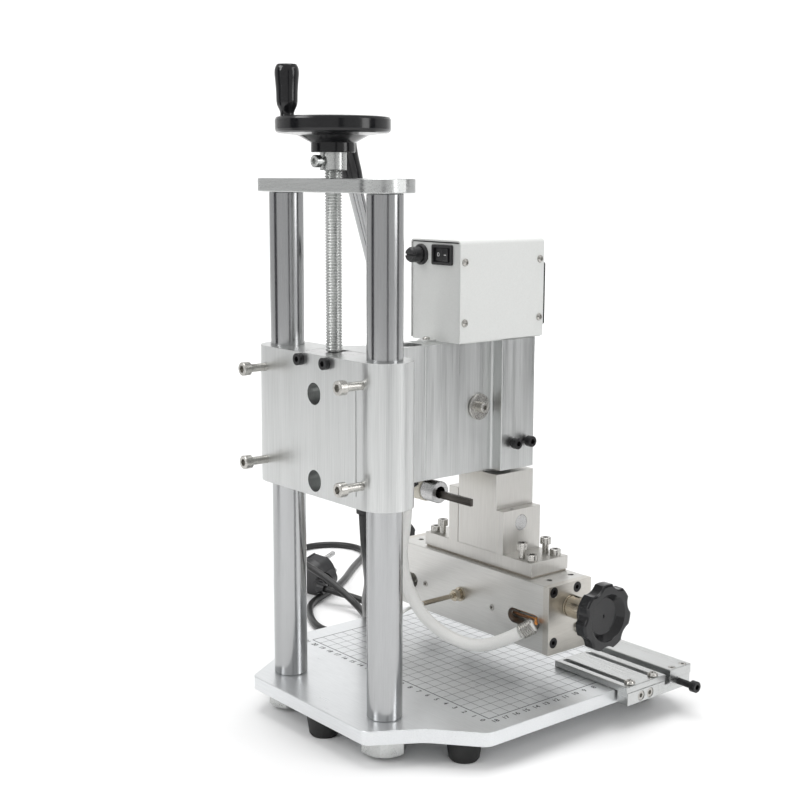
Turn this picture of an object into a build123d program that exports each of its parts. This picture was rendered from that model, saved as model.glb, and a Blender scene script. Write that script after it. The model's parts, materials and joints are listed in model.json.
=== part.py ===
from build123d import *
import math
import os

# Hand cranked bench embossing press for leather belts.
# Millimetres, +Z up. +X is the operator's right, +Y is the rear, the
# operator stands on the -Y side. The drawing frame used for the numbers below
# has z = 0 on the table top and x = 0, y = 0 at the near corner of the printed
# ruler grid; every plane helper moves it so that the finished part stands on
# z = 0 with the middle of its footprint at the origin.

os.makedirs("parts", exist_ok=True)

OX, OY, OZ = 93.0, -46.0, -28.0

# ------------------------------------------------------------ dimensions
# table
BASE_T = 10.0
BASE_X0, BASE_X1 = -19.0, 229.0
BASE_Y0, BASE_Y1 = -186.0, 82.0
FOOT_H = 18.0
FEET = [(9.0, 15.0), (201.0, 15.0), (105.0, 65.5), (8.0, -165.0), (202.0, -165.0)]

# columns and top plate
COL_D = 25.0
COLS = [(50.0, 53.4), (164.0, 53.4)]
AXIS = (107.0, 53.4)
COL_TOP = 362.5
PLATE_Z1 = 372.0
FIT = 0.05                      # radial running clearance

# lead screw and handwheel
SCREW_D = 12.0
RIM_R = 39.8
CRANK = (127.0, 77.5)

# head
HEAD_Z0, HEAD_Z1 = 151.0, 251.7
ARM_X0, ARM_X1 = 92.5, 121.5
BLK_X0, BLK_X1 = 82.0, 132.0
BLK_Y0, BLK_Y1 = -121.0, -86.0
PIV_Y, PIV_Z = -71.6, 201.3
LEAN = 17.6                     # lever lean to the rear at rest, degrees
LEVER_X = 178.0

# rack and pinion
MODULE = 1.5
TEETH = 15
PITCH_R = MODULE * TEETH / 2

# ram and hot head
RAM_X0, RAM_X1 = 97.0, 117.0
RAM_Y0, RAM_Y1 = -112.0, -81.25
NECK_Z0, NECK_Z1 = 86.8, 148.2
BEAM_X0, BEAM_X1 = 25.0, 189.5
BEAM_Y0, BEAM_Y1 = -122.0, -77.0
BEAM_Z0, BEAM_Z1 = 22.5, 75.0
KNOB_Y, KNOB_Z = -99.5, 57.3

# control box
BOX_X0, BOX_X1 = 82.4, 138.4
BOX_Y0, BOX_Y1 = -129.0, -43.0
BOX_Z1 = 327.2
SHEET = 1.2

# soft lines
HOSE_D = 9.5
CORD_D = 6.5
LEAD_D = 2.4


def top(z):
    """Plan view plane at height z, local x, y are the drawing's x, y."""
    return Plane(origin=(-OX, -OY, z - OZ), x_dir=(1, 0, 0), z_dir=(0, 0, 1))


def front(y):
    """Front view plane, local x, y are the drawing's x, z; normal -Y."""
    return Plane(origin=(-OX, y - OY, -OZ), x_dir=(1, 0, 0), z_dir=(0, -1, 0))


def side(x):
    """Side view plane, local x, y are the drawing's y, z; normal +X."""
    return Plane(origin=(x - OX, -OY, -OZ), x_dir=(0, 1, 0), z_dir=(1, 0, 0))


def lathe_z(x, y):
    """Turning plane about a vertical axis, local x is the radius, y is z."""
    return Plane(origin=(x - OX, y - OY, -OZ), x_dir=(1, 0, 0), z_dir=(0, -1, 0))


def lathe_x(y, z):
    """Turning plane about an axis along X, local x is x, y is the radius."""
    return Plane(origin=(-OX, y - OY, z - OZ), x_dir=(1, 0, 0), z_dir=(0, -1, 0))


def lathe_y(x, z):
    """Turning plane about an axis along Y, local x is y, y is the radius."""
    return Plane(origin=(x - OX, -OY, z - OZ), x_dir=(0, 1, 0), z_dir=(1, 0, 0))


def axis_z(x, y):
    return Axis((x - OX, y - OY, 0), (0, 0, 1))


def axis_x(y, z):
    return Axis((0, y - OY, z - OZ), (1, 0, 0))


def axis_y(x, z):
    return Axis((x - OX, 0, z - OZ), (0, 1, 0))


def pt(p):
    """A drawing point in the part's own frame."""
    return Vector(p[0] - OX, p[1] - OY, p[2] - OZ)


def upright_near(part, spots):
    """Vertical edges standing over the given plan points."""
    return [e for e in part.edges().filter_by(Axis.Z)
            if any(abs(e.center().X - (x - OX)) < 0.2 and abs(e.center().Y - (y - OY)) < 0.2
                   for x, y in spots)]


def save(builder, name):
    builder.part.label = name
    export_step(builder.part, f"parts/{name}.step")


# ============================================================ table
S_PTS = [(36.5, 82.0), (14.5, 46.0), (-19.0, 17.5), (-19.0, -186.0)]
with BuildPart() as base_plate:
    with BuildSketch(top(-BASE_T)) as outline:
        with BuildLine():
            Polyline(*S_PTS, *[(210 - x, y) for x, y in reversed(S_PTS)], close=True)
        make_face()
        fillet([v for v in outline.vertices() if abs(v.Y - 82) < 0.1], 8)
        fillet([v for v in outline.vertices() if abs(v.Y - 46) < 0.1], 40)
        fillet([v for v in outline.vertices() if abs(v.Y - 17.5) < 0.1], 10)
        fillet([v for v in outline.vertices() if abs(v.Y + 186) < 0.1], 6)
    extrude(amount=BASE_T)
    chamfer(base_plate.faces().sort_by(Axis.Z)[-1].edges(), 0.4)
    with BuildSketch(top(0)):
        with Locations(*COLS):
            Circle(8.2)
    extrude(amount=-BASE_T, mode=Mode.SUBTRACT)
    with BuildSketch(top(-BASE_T)):
        with Locations(*FEET):
            Circle(2.55)
    extrude(amount=7, mode=Mode.SUBTRACT)
    # tapped holes in the left edge for the fence bar
    with BuildSketch(side(BASE_X0)):
        with Locations((-125.5, -4.9), (-135.5, -4.9)):
            Circle(2.05)
    extrude(amount=14, mode=Mode.SUBTRACT)
save(base_plate, "base_plate")

with BuildPart() as rubber_feet:
    for fx, fy in FEET:
        with BuildSketch(lathe_z(fx, fy)) as prof:
            with BuildLine():
                Polyline((2.75, -10), (13.5, -10), (12.9, -13.5), (11.0, -26.2), (9.6, -28),
                         (5.5, -28), (5.5, -20), (2.75, -20), close=True)
            make_face()
        revolve(axis=axis_z(fx, fy))
save(rubber_feet, "rubber_feet")

with BuildPart() as foot_screws:
    with BuildSketch(top(-20)):
        with Locations(*FEET):
            Circle(4.6)
    extrude(amount=-3)
    with BuildSketch(top(-20)):
        with Locations(*FEET):
            Circle(2.5)
    extrude(amount=15.5)
    with BuildSketch(top(-23)):
        with Locations(*FEET):
            Rectangle(5.2, 1.1)
            Rectangle(1.1, 5.2)
    extrude(amount=1.6, mode=Mode.SUBTRACT)

# ============================================================ columns
with BuildPart() as columns:
    for cx, cy in COLS:
        with BuildSketch(lathe_z(cx, cy)):
            with BuildLine():
                Polyline((0, 32), (8.05, 32), (8.05, 0), (11.7, 0), (12.5, 0.8), (12.5, COL_TOP - 0.8),
                         (11.7, COL_TOP), (4.05, COL_TOP), (4.05, COL_TOP - 26), (0, COL_TOP - 26),
                         close=True)
            make_face()
        revolve(axis=axis_z(cx, cy))
save(columns, "columns")

with BuildPart() as column_bolts:
    with BuildSketch(top(-24.8)):
        with Locations(*COLS):
            RegularPolygon(radius=15.0, side_count=6, major_radius=False, rotation=12)
    extrude(amount=12.4)
    # rounded corners of the hexagon, as turned off at 30 degrees
    for cx, cy in COLS:
        with BuildSketch(lathe_z(cx, cy)):
            with BuildLine():
                Polyline((15.2, -24.8), (18.2, -24.8), (18.2, -23.0), close=True)
            make_face()
        revolve(axis=axis_z(cx, cy), mode=Mode.SUBTRACT)
    with BuildSketch(top(-24.8)):
        with Locations(*COLS):
            Circle(8.0)
    extrude(amount=24.8 + 28)

with BuildPart() as column_washers:
    with BuildSketch(top(-12.4)):
        with Locations(*COLS):
            Circle(15.6)
            Circle(8.25, mode=Mode.SUBTRACT)
    extrude(amount=2.4)

# ============================================================ top plate
with BuildPart() as top_plate:
    with BuildSketch(top(COL_TOP)):
        with Locations((AXIS[0], 53.4)):
            RectangleRounded(148, 43.2, 18)
        with Locations(AXIS):
            Circle(SCREW_D / 2 + FIT, mode=Mode.SUBTRACT)
    extrude(amount=PLATE_Z1 - COL_TOP)
    chamfer([e for e in top_plate.edges().group_by(Axis.Z)[-1] if e.length > 45], 0.5)
    chamfer([e for e in top_plate.edges().group_by(Axis.Z)[0] if e.length > 45], 0.5)
    for cx, cy in COLS:
        with BuildSketch(lathe_z(cx, cy)):
            with BuildLine():
                Polyline((0, COL_TOP), (4.25, COL_TOP), (4.25, 367.0), (8.6, 371.35), (8.6, 372), (0, 372),
                         close=True)
            make_face()
        revolve(axis=axis_z(cx, cy), mode=Mode.SUBTRACT)
save(top_plate, "top_plate")

with BuildPart() as top_plate_screws:
    for cx, cy in COLS:
        with BuildSketch(lathe_z(cx, cy)):
            with BuildLine():
                Polyline((0, 341), (4, 341), (4, 366.9), (8.4, 371.3), (8.4, 371.8), (0, 371.8), close=True)
            make_face()
        revolve(axis=axis_z(cx, cy))
    with BuildSketch(top(371.8)):
        with Locations(*COLS):
            RegularPolygon(radius=3.4, side_count=6)
    extrude(amount=-4, mode=Mode.SUBTRACT)

with BuildPart() as column_fasteners:
    add(column_bolts.part)
    add(column_washers.part)
    add(top_plate_screws.part)
save(column_fasteners, "column_fasteners")

# ============================================================ fence at the left front corner
BAR_X0, BAR_X1 = -30.5, -20.5
SLOT_Y = (-117.4, -143.2)
with BuildPart() as side_bar:
    with BuildSketch(side(BAR_X0)):
        with BuildLine():
            Polyline((-110.5, -9.5), (-110.5, -0.05), (-152.0, -0.05), (-152.0, -3.0), (-158.0, -3.0),
                     (-158.0, -0.05), (-181.0, -0.05), (-181.0, -9.5), close=True)
        make_face()
    extrude(amount=BAR_X1 - BAR_X0)
    # bosses that stand the bar off the table edge
    with BuildSketch(side(BAR_X1)):
        with Locations((-125.5, -4.9), (-135.5, -4.9)):
            Circle(4.2)
    extrude(amount=BASE_X0 - BAR_X1)
    with BuildSketch(top(0)):
        with Locations((-26.0, SLOT_Y[0]), (-26.0, SLOT_Y[1])):
            Circle(2.05)
        with Locations((-27.0, -164.0), (-27.0, -176.5)):
            Circle(1.3)
    extrude(amount=-8, mode=Mode.SUBTRACT)
    with BuildSketch(side(BAR_X0)):
        with Locations((-168.6, -4.0)):
            Circle(2.5 + FIT)
        with Locations((-125.5, -4.9), (-135.5, -4.9)):
            Circle(2.2)
    extrude(amount=BASE_X0 - BAR_X0, mode=Mode.SUBTRACT)
    with BuildSketch(side(BAR_X0)):
        with Locations((-125.5, -4.9), (-135.5, -4.9)):
            Circle(3.7)
    extrude(amount=4.2, mode=Mode.SUBTRACT)
save(side_bar, "side_bar")

with BuildPart() as side_bar_screws:
    with BuildSketch(side(BAR_X0 + 4.2)):
        with Locations((-125.5, -4.9), (-135.5, -4.9)):
            Circle(2.0)
    extrude(amount=16)
    with BuildSketch(side(BAR_X0 + 0.4)):
        with Locations((-125.5, -4.9), (-135.5, -4.9)):
            Circle(3.5)
    extrude(amount=3.8)
    with BuildSketch(side(BAR_X0 + 0.4)):
        with Locations((-125.5, -4.9), (-135.5, -4.9)):
            RegularPolygon(radius=1.75, side_count=6)
    extrude(amount=2.2, mode=Mode.SUBTRACT)

with BuildPart() as guide_plate:
    with BuildSketch(top(0.3)):
        with Locations((6.0, -131.0)):
            Rectangle(73, 43)
        for sy in SLOT_Y:
            with Locations((5.75, sy)):
                SlotOverall(69.1, 5.0, mode=Mode.SUBTRACT)
    extrude(amount=4.7)
    chamfer([e for e in guide_plate.edges().group_by(Axis.Z)[-1] if e.length > 40], 0.4)
save(guide_plate, "guide_plate")

with BuildPart() as slot_screws:
    for sy in SLOT_Y:
        with BuildSketch(lathe_z(-26.0, sy)):
            with BuildLine():
                Polyline((0, -7), (2, -7), (2, 5.35), (4.0, 5.35), (4.0, 6.3), (3.2, 7.4), (1.6, 7.9), (0, 7.95),
                         close=True)
            make_face()
        revolve(axis=axis_z(-26.0, sy))
    with BuildSketch(top(8.2)):
        with Locations((-26.0, SLOT_Y[0]), (-26.0, SLOT_Y[1])):
            Rectangle(4.4, 0.9, rotation=25)
            Rectangle(0.9, 4.4, rotation=25)
    extrude(amount=-1.7, mode=Mode.SUBTRACT)

with BuildPart() as guide_block:
    with BuildSketch(top(0)):
        with Locations((8.0, -170.0)):
            Rectangle(77, 24)
    extrude(amount=7)
    chamfer([e for e in guide_block.edges().group_by(Axis.Z)[-1]], 0.4)
    with Locations(top(7)):
        with Locations((-27.0, -164.0), (-27.0, -176.5)):
            CounterBoreHole(radius=1.7, counter_bore_radius=3.1, counter_bore_depth=2.6)
save(guide_block, "guide_block")

with BuildPart() as guide_block_screws:
    for sy in (-164.0, -176.5):
        with BuildSketch(lathe_z(-27.0, sy)):
            with BuildLine():
                Polyline((0, -7), (1.25, -7), (1.25, 4.4), (2.8, 4.4), (2.8, 6.9), (0, 6.9), close=True)
            make_face()
        revolve(axis=axis_z(-27.0, sy))
    with BuildSketch(top(6.9)):
        with Locations((-27.0, -164.0), (-27.0, -176.5)):
            RegularPolygon(radius=1.4, side_count=6)
    extrude(amount=-1.5, mode=Mode.SUBTRACT)

with BuildPart() as base_screws:
    add(foot_screws.part)
    add(side_bar_screws.part)
    add(slot_screws.part)
    add(guide_block_screws.part)
save(base_screws, "base_screws")

with BuildPart() as bar_thumb_screw:
    with BuildSketch(lathe_x(-168.6, -4.0)):
        with BuildLine():
            Polyline((-48.0, 0), (-48.0, 3.9), (-47.6, 4.3), (-43.2, 4.3), (-43.0, 2.5), (-20.3, 2.5),
                     (-19.4, 1.6), (-19.4, 0), close=True)
        make_face()
    revolve(axis=axis_x(-168.6, -4.0))
    with BuildSketch(side(-48.0)):
        with Locations((-168.6, -4.0)):
            RegularPolygon(radius=2.3, side_count=6)
    extrude(amount=2.8, mode=Mode.SUBTRACT)
save(bar_thumb_screw, "bar_thumb_screw")

# ============================================================ handwheel and lead screw
with BuildPart() as handwheel:
    with BuildSketch(lathe_z(*AXIS)):
        with BuildLine():
            Polyline((9.25, 389.5), (14.9, 389.5), (15.3, 389.9), (15.3, 396.0), (24.5, 400.9), (34.0, 402.3),
                     (37.6, 402.4), (39.2, 403.4), (39.8, 405.0), (39.8, 411.4), (39.0, 413.0), (37.2, 413.5),
                     (30.0, 412.6), (24.0, 410.6), (16.0, 410.0), (14.0, 411.5), (0, 411.5), (0, 405.2),
                     (9.25, 405.2), close=True)
        make_face()
    revolve(axis=axis_z(*AXIS))
    with BuildSketch(top(416)):
        with Locations(CRANK):
            Circle(2.95)
    extrude(amount=-20, mode=Mode.SUBTRACT)
    with BuildSketch(top(411.7)):
        with Locations(CRANK):
            Circle(5.4)
    extrude(amount=1.8)
    with BuildSketch(top(416)):
        with Locations(CRANK):
            Circle(2.95)
    extrude(amount=-20, mode=Mode.SUBTRACT)
save(handwheel, "handwheel")

with BuildPart() as wheel_insert:
    with BuildSketch(lathe_z(*AXIS)):
        with BuildLine():
            Polyline((6.02, 378.0), (6.5, 377.5), (8.9, 377.5), (9.25, 377.9), (9.25, 405.2), (6.02, 405.2),
                     close=True)
        make_face()
    revolve(axis=axis_z(*AXIS))
    with BuildSketch(front(64)):
        with Locations((AXIS[0], 383.5)):
            Circle(2.52)
    extrude(amount=8, mode=Mode.SUBTRACT)

with BuildPart() as insert_set_bolt:
    with BuildSketch(lathe_y(AXIS[0], 383.5)):
        with BuildLine():
            Polyline((59.45, 0), (59.45, 2.5), (64.9, 2.5), (64.9, 4.1), (65.2, 4.25), (69.4, 4.25), (69.9, 3.8),
                     (69.9, 0), close=True)
        make_face()
    revolve(axis=axis_y(AXIS[0], 383.5))
    with BuildSketch(front(69.9)):
        with Locations((AXIS[0], 383.5)):
            RegularPolygon(radius=2.3, side_count=6)
    extrude(amount=2.8, mode=Mode.SUBTRACT)

with BuildPart() as screw_collar:
    add(wheel_insert.part)
    add(insert_set_bolt.part)
save(screw_collar, "screw_collar")

with BuildPart() as lead_screw:
    with BuildSketch(lathe_z(*AXIS)):
        with BuildLine():
            Polyline((0, 232.4), (5.2, 232.4), (5.8, 233.0), (5.8, 242.3), (4.0, 242.3), (4.0, 252.1), (5.2, 252.1),
                     (6.0, 253.0), (6.0, 404.6), (5.4, 405.2), (0, 405.2), close=True)
        make_face()
    revolve(axis=axis_z(*AXIS))
save(lead_screw, "lead_screw")

with BuildPart() as crank_pin:
    with BuildSketch(lathe_z(*CRANK)):
        with BuildLine():
            Polyline((0, 403.5), (2.9, 403.5), (2.9, 441.0), (5.0, 441.0), (5.0, 443.6), (4.2, 444.6), (0, 445.0),
                     close=True)
        make_face()
    revolve(axis=axis_z(*CRANK))
    with BuildSketch(top(445.2)):
        with Locations(CRANK):
            Rectangle(9, 1.2)
    extrude(amount=-1.8, mode=Mode.SUBTRACT)
save(crank_pin, "crank_pin")

with BuildPart() as crank_grip:
    with BuildSketch(lathe_z(*CRANK)) as grip_profile:
        with BuildLine():
            Line((2.95, 414.0), (4.9, 414.0))
            Spline((4.9, 414.0), (5.0, 417.0), (6.6, 420.5), (7.4, 427.0), (8.15, 439.0), (8.1, 445.5), (6.6, 448.5))
            Polyline((6.6, 448.5), (5.6, 448.5), (5.6, 440.6), (2.95, 440.6), (2.95, 414.0))
        make_face()
    revolve(axis=axis_z(*CRANK))
save(crank_grip, "crank_grip")

# ============================================================ head
with BuildPart() as head_block:
    with BuildSketch(top(HEAD_Z0)):
        with Locations((AXIS[0], 53.4)):
            SlotOverall(154, 40)
        with Locations((107.0, -20.5)):
            Rectangle(ARM_X1 - ARM_X0, 131)
        with Locations((107.0, (BLK_Y0 + BLK_Y1) / 2)):
            Rectangle(BLK_X1 - BLK_X0, BLK_Y1 - BLK_Y0)
    extrude(amount=HEAD_Z1 - HEAD_Z0)
    fillet(upright_near(head_block, [(ARM_X0, 33.4), (ARM_X1, 33.4)]), 27)
    fillet(upright_near(head_block, [(ARM_X0, BLK_Y1), (ARM_X1, BLK_Y1)]), 2.2)
    fillet(upright_near(head_block, [(BLK_X0, BLK_Y1), (BLK_X1, BLK_Y1), (BLK_X0, BLK_Y0), (BLK_X1, BLK_Y0)]), 0.8)
    # shallow grooves of the extruded arm
    with BuildSketch(top(HEAD_Z0)):
        with Locations((ARM_X0 - 0.5, -19.0), (ARM_X1 + 0.5, -19.0)):
            Circle(1.3)
    extrude(amount=HEAD_Z1 - HEAD_Z0, mode=Mode.SUBTRACT)
    with BuildSketch(front(73.4)):
        with Locations((56.0, 197.5)):
            SlotOverall(76, 1.2, rotation=90)
    extrude(amount=0.7, mode=Mode.SUBTRACT)
    # column bores
    with BuildSketch(top(HEAD_Z0)):
        with Locations(*COLS):
            Circle(COL_D / 2 + FIT)
    extrude(amount=HEAD_Z1 - HEAD_Z0, mode=Mode.SUBTRACT)
    # pocket for the retainer fork and the bore under it for the screw's button
    with BuildSketch(top(HEAD_Z1)):
        with Locations((104.0, 54.0)):
            RectangleRounded(44.2, 24.2, 4)
    extrude(amount=-(HEAD_Z1 - 242.6), mode=Mode.SUBTRACT)
    with BuildSketch(top(226)):
        with Locations(AXIS):
            Circle(6.2)
    extrude(amount=20, mode=Mode.SUBTRACT)
    # the two big tapped holes in the rear face
    with BuildSketch(front(73.4)):
        with Locations((104.0, 224.0), (104.0, 162.0)):
            Circle(7.75)
    extrude(amount=15, mode=Mode.SUBTRACT)
    # retainer screws
    with BuildSketch(front(73.4)):
        with Locations((119.2, 246.9), (88.8, 246.9)):
            Circle(2.7)
    extrude(amount=8, mode=Mode.SUBTRACT)
    # head lock screws into the column bores
    with BuildSketch(front(73.4)):
        with Locations((50.0, 236.4), (50.0, 167.9), (164.0, 236.4), (164.0, 167.9)):
            Circle(3.05)
    extrude(amount=10, mode=Mode.SUBTRACT)
    # wiring well in the arm, hose hole and cord hole below it
    with BuildSketch(top(HEAD_Z1)):
        with Locations((105.5, -12.0)):
            RectangleRounded(18, 20, 5)
    extrude(amount=-(HEAD_Z1 - 166), mode=Mode.SUBTRACT)
    with BuildSketch(top(HEAD_Z0)):
        with Locations((107.0, -13.0)):
            Circle(5.4)
        with Locations((107.0, 28.0)):
            Circle(5.5)
    extrude(amount=20, mode=Mode.SUBTRACT)
    with BuildSketch(front(28)):
        with Locations((107.0, 176.0)):
            Circle(4.5)
    extrude(amount=36, mode=Mode.SUBTRACT)
    with BuildSketch(top(170)):
        with Locations((107.0, 28.0)):
            Circle(4.5)
    extrude(amount=6, mode=Mode.SUBTRACT)
    # ram channel, pinion chamber, shaft bore
    with BuildSketch(top(HEAD_Z0)):
        with Locations((107.0, (RAM_Y0 + RAM_Y1) / 2)):
            Rectangle(RAM_X1 - RAM_X0 + 2 * FIT, RAM_Y1 - RAM_Y0 + 2 * FIT)
    extrude(amount=92, mode=Mode.SUBTRACT)
    with BuildSketch(side(BLK_X1 + 2)):
        with Locations((PIV_Y, PIV_Z)):
            Circle(14)
    extrude(amount=-(BLK_X1 + 2 - 97), mode=Mode.SUBTRACT)
    with BuildSketch(side(ARM_X0)):
        with Locations((PIV_Y, PIV_Z)):
            Circle(6 + FIT)
    extrude(amount=5, mode=Mode.SUBTRACT)
    # stop screw and gib screw in the left face of the front block
    with BuildSketch(side(BLK_X0)):
        with Locations((-97.5, 171.8), (-112.5, 171.8)):
            Circle(2.55)
    extrude(amount=16, mode=Mode.SUBTRACT)
    with BuildSketch(side(117)):
        with Locations((-97.5, 171.8)):
            Circle(2.55)
    extrude(amount=8, mode=Mode.SUBTRACT)
    # tapped holes of the two foot screws of the control box
    with BuildSketch(top(HEAD_Z1)):
        with Locations((114.7, -38.4), (98.0, -118.0)):
            Circle(1.65)
    extrude(amount=-8, mode=Mode.SUBTRACT)
save(head_block, "head_block")

with BuildPart() as head_lock_screws:
    LOCKS = [(50.0, 236.4), (50.0, 167.9), (164.0, 236.4), (164.0, 167.9)]
    with BuildSketch(front(93.8)):
        with Locations(*LOCKS):
            Circle(5.0)
    extrude(amount=6)
    chamfer(head_lock_screws.edges().group_by(Axis.Y)[-1], 0.5)
    with BuildSketch(front(87.8)):
        with Locations(*LOCKS):
            Circle(3.0)
    extrude(amount=87.8 - 66.3)
    with BuildSketch(front(93.8)):
        with Locations(*LOCKS):
            RegularPolygon(radius=2.85, side_count=6)
    extrude(amount=3.2, mode=Mode.SUBTRACT)
save(head_lock_screws, "head_lock_screws")

# U shaped fork that holds the button on the lower end of the lead screw
with BuildPart() as screw_retainer:
    with BuildSketch(top(242.6)):
        with Locations((104.0, 54.0)):
            RectangleRounded(44, 24, 4)
        with Locations(AXIS):
            Circle(4.0 + FIT, mode=Mode.SUBTRACT)
        with Locations((AXIS[0], 47.4)):
            Rectangle(8.1, 12, mode=Mode.SUBTRACT)
    extrude(amount=9.0)
    with BuildSketch(front(66)):
        with Locations((119.2, 246.9), (88.8, 246.9)):
            Circle(2.1)
    extrude(amount=12, mode=Mode.SUBTRACT)
save(screw_retainer, "screw_retainer")

with BuildPart() as retainer_screws:
    with BuildSketch(front(77.4)):
        with Locations((119.2, 246.9), (88.8, 246.9)):
            Circle(4.25)
    extrude(amount=4.0)
    with BuildSketch(front(73.4)):
        with Locations((119.2, 246.9), (88.8, 246.9)):
            Circle(2.5)
    extrude(amount=7.4)
    with BuildSketch(front(66)):
        with Locations((119.2, 246.9), (88.8, 246.9)):
            Circle(2.05)
    extrude(amount=10)
    with BuildSketch(front(77.4)):
        with Locations((119.2, 246.9), (88.8, 246.9)):
            RegularPolygon(radius=2.3, side_count=6)
    extrude(amount=2.6, mode=Mode.SUBTRACT)

# ============================================================ control box
BOX_SCREWS = [(-47.6, 311.5), (-47.6, 267.0), (-124.6, 311.5), (-124.6, 267.0)]
with BuildPart() as control_box_cover:
    with BuildSketch(front(BOX_Y1)) as shell:
        with BuildLine():
            Polyline((BOX_X0, 252.7), (BOX_X0, BOX_Z1), (BOX_X1, BOX_Z1), (BOX_X1, 252.7),
                     (BOX_X1 - SHEET, 252.7), (BOX_X1 - SHEET, BOX_Z1 - SHEET), (BOX_X0 + SHEET, BOX_Z1 - SHEET),
                     (BOX_X0 + SHEET, 252.7), close=True)
        make_face()
        fillet([v for v in shell.vertices() if abs(v.Y - BOX_Z1) < 0.1], 3.0)
        fillet([v for v in shell.vertices() if abs(v.Y - (BOX_Z1 - SHEET)) < 0.1], 1.8)
    extrude(amount=BOX_Y1 - BOX_Y0)
    with BuildSketch(side(BOX_X0 - 1)):
        with Locations(*BOX_SCREWS):
            Circle(1.6)
    extrude(amount=BOX_X1 - BOX_X0 + 2, mode=Mode.SUBTRACT)
save(control_box_cover, "control_box_cover")

CX0, CX1 = BOX_X0 + SHEET + 0.25, BOX_X1 - SHEET - 0.25
CZ1 = BOX_Z1 - SHEET - 1.0
with BuildPart() as control_box_chassis:
    with BuildSketch(side(CX0)):
        with BuildLine():
            Polyline((-43.7, 251.7), (-43.7, CZ1), (-44.9, CZ1), (-44.9, 252.9), (-127.1, 252.9), (-127.1, CZ1),
                     (-128.3, CZ1), (-128.3, 251.7), close=True)
        make_face()
    extrude(amount=CX1 - CX0)
    # bent lugs that take the side screws
    for ly, lz in BOX_SCREWS:
        lug_y = -49.2 if ly > -80 else -122.8
        with BuildSketch(side(CX0)):
            with Locations((lug_y, lz)):
                Rectangle(8.6, 12)
        extrude(amount=SHEET)
        with BuildSketch(side(CX1)):
            with Locations((lug_y, lz)):
                Rectangle(8.6, 12)
        extrude(amount=-SHEET)
    with BuildSketch(side(CX0)):
        with Locations(*BOX_SCREWS):
            Circle(1.52)
    extrude(amount=CX1 - CX0, mode=Mode.SUBTRACT)
    # foot tab under the rear panel
    with BuildSketch(top(251.7)):
        with Locations((114.7, -39.2)):
            Rectangle(10, 10)
        with Locations((114.7, -38.4)):
            Circle(1.9, mode=Mode.SUBTRACT)
    extrude(amount=1.2)
    with BuildSketch(top(253)):
        with Locations((98.0, -118.0)):
            Circle(1.9)
        with Locations((105.5, -70.0)):
            Circle(7)
    extrude(amount=-2, mode=Mode.SUBTRACT)
    # cut-outs: rocker switch, fuse holder, controller
    with BuildSketch(front(-43)):
        with Locations((102.5, 316.3)):
            Rectangle(19.4, 13.0)
        with Locations((127.0, 315.7)):
            Circle(6.1)
    extrude(amount=3, mode=Mode.SUBTRACT)
    with BuildSketch(front(-126)):
        with Locations((107.0, 284.8)):
            Rectangle(42.4, 44.4)
    extrude(amount=4, mode=Mode.SUBTRACT)
save(control_box_chassis, "control_box_chassis")

with BuildPart() as box_screws:
    for x_out, sgn in ((BOX_X0, -1), (BOX_X1, 1)):
        for ly, lz in BOX_SCREWS:
            with BuildSketch(lathe_x(ly, lz)):
                with BuildLine():
                    Polyline((x_out - sgn * 3.1, 0), (x_out - sgn * 3.1, 1.5), (x_out, 1.5), (x_out, 2.9),
                             (x_out + sgn * 0.9, 2.7), (x_out + sgn * 1.9, 1.5), (x_out + sgn * 2.1, 0), close=True)
                make_face()
            revolve(axis=axis_x(ly, lz))
        with BuildSketch(side(x_out + sgn * 2.2)):
            with Locations(*BOX_SCREWS):
                Rectangle(3.2, 0.7, rotation=30)
                Rectangle(0.7, 3.2, rotation=30)
        extrude(amount=-sgn * 1.3, mode=Mode.SUBTRACT)

with BuildPart() as box_foot_screws:
    for fx, fy in ((114.7, -38.4), (98.0, -118.0)):
        with BuildSketch(lathe_z(fx, fy)):
            with BuildLine():
                Polyline((0, 245), (1.6, 245), (1.6, 252.9), (3.0, 252.9), (2.8, 254.0), (1.6, 254.9), (0, 255.1),
                         close=True)
            make_face()
        revolve(axis=axis_z(fx, fy))

with BuildPart() as box_fasteners:
    add(box_screws.part)
    add(box_foot_screws.part)
save(box_fasteners, "box_fasteners")

with BuildPart() as switch_body:
    with BuildSketch(front(-42.0)):
        with Locations((102.5, 316.3)):
            RectangleRounded(22.4, 14.8, 1.2)
            Rectangle(18.2, 10.6, mode=Mode.SUBTRACT)
    extrude(amount=1.7)
    with BuildSketch(front(-43.7)):
        with Locations((102.5, 316.3)):
            Rectangle(19.2, 12.8)
    extrude(amount=17)
    with BuildSketch(front(-43.7)):
        with Locations((102.5, 316.3)):
            Rectangle(18.2, 10.6)
    extrude(amount=12, mode=Mode.SUBTRACT)
    with BuildSketch(top(309.4)):
        with Locations((102.5, -45.6)):
            Circle(1.2 + FIT)
    extrude(amount=14, mode=Mode.SUBTRACT)
    with BuildSketch(front(-60.7)):
        with Locations((97.0, 316.3), (102.5, 316.3), (108.0, 316.3)):
            Rectangle(0.8, 4.8)
    extrude(amount=6)
save(switch_body, "switch_body")

# rocker: pivots on two stubs, its outer face is a shallow V, rest tilt 8 degrees
with BuildPart() as switch_rocker:
    with BuildSketch(top(311.4)):
        with BuildLine():
            Polyline((94.73, -41.28), (102.86, -43.03), (111.16, -43.59), (110.11, -47.48), (104.77, -50.97), (98.83, -50.13), (94.66, -45.31),
                     close=True)
        make_face()
    extrude(amount=9.8)
    with BuildSketch(top(310.2)):
        with Locations((102.5, -45.6)):
            Circle(1.2)
    extrude(amount=12.2)
save(switch_rocker, "switch_rocker")

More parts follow.
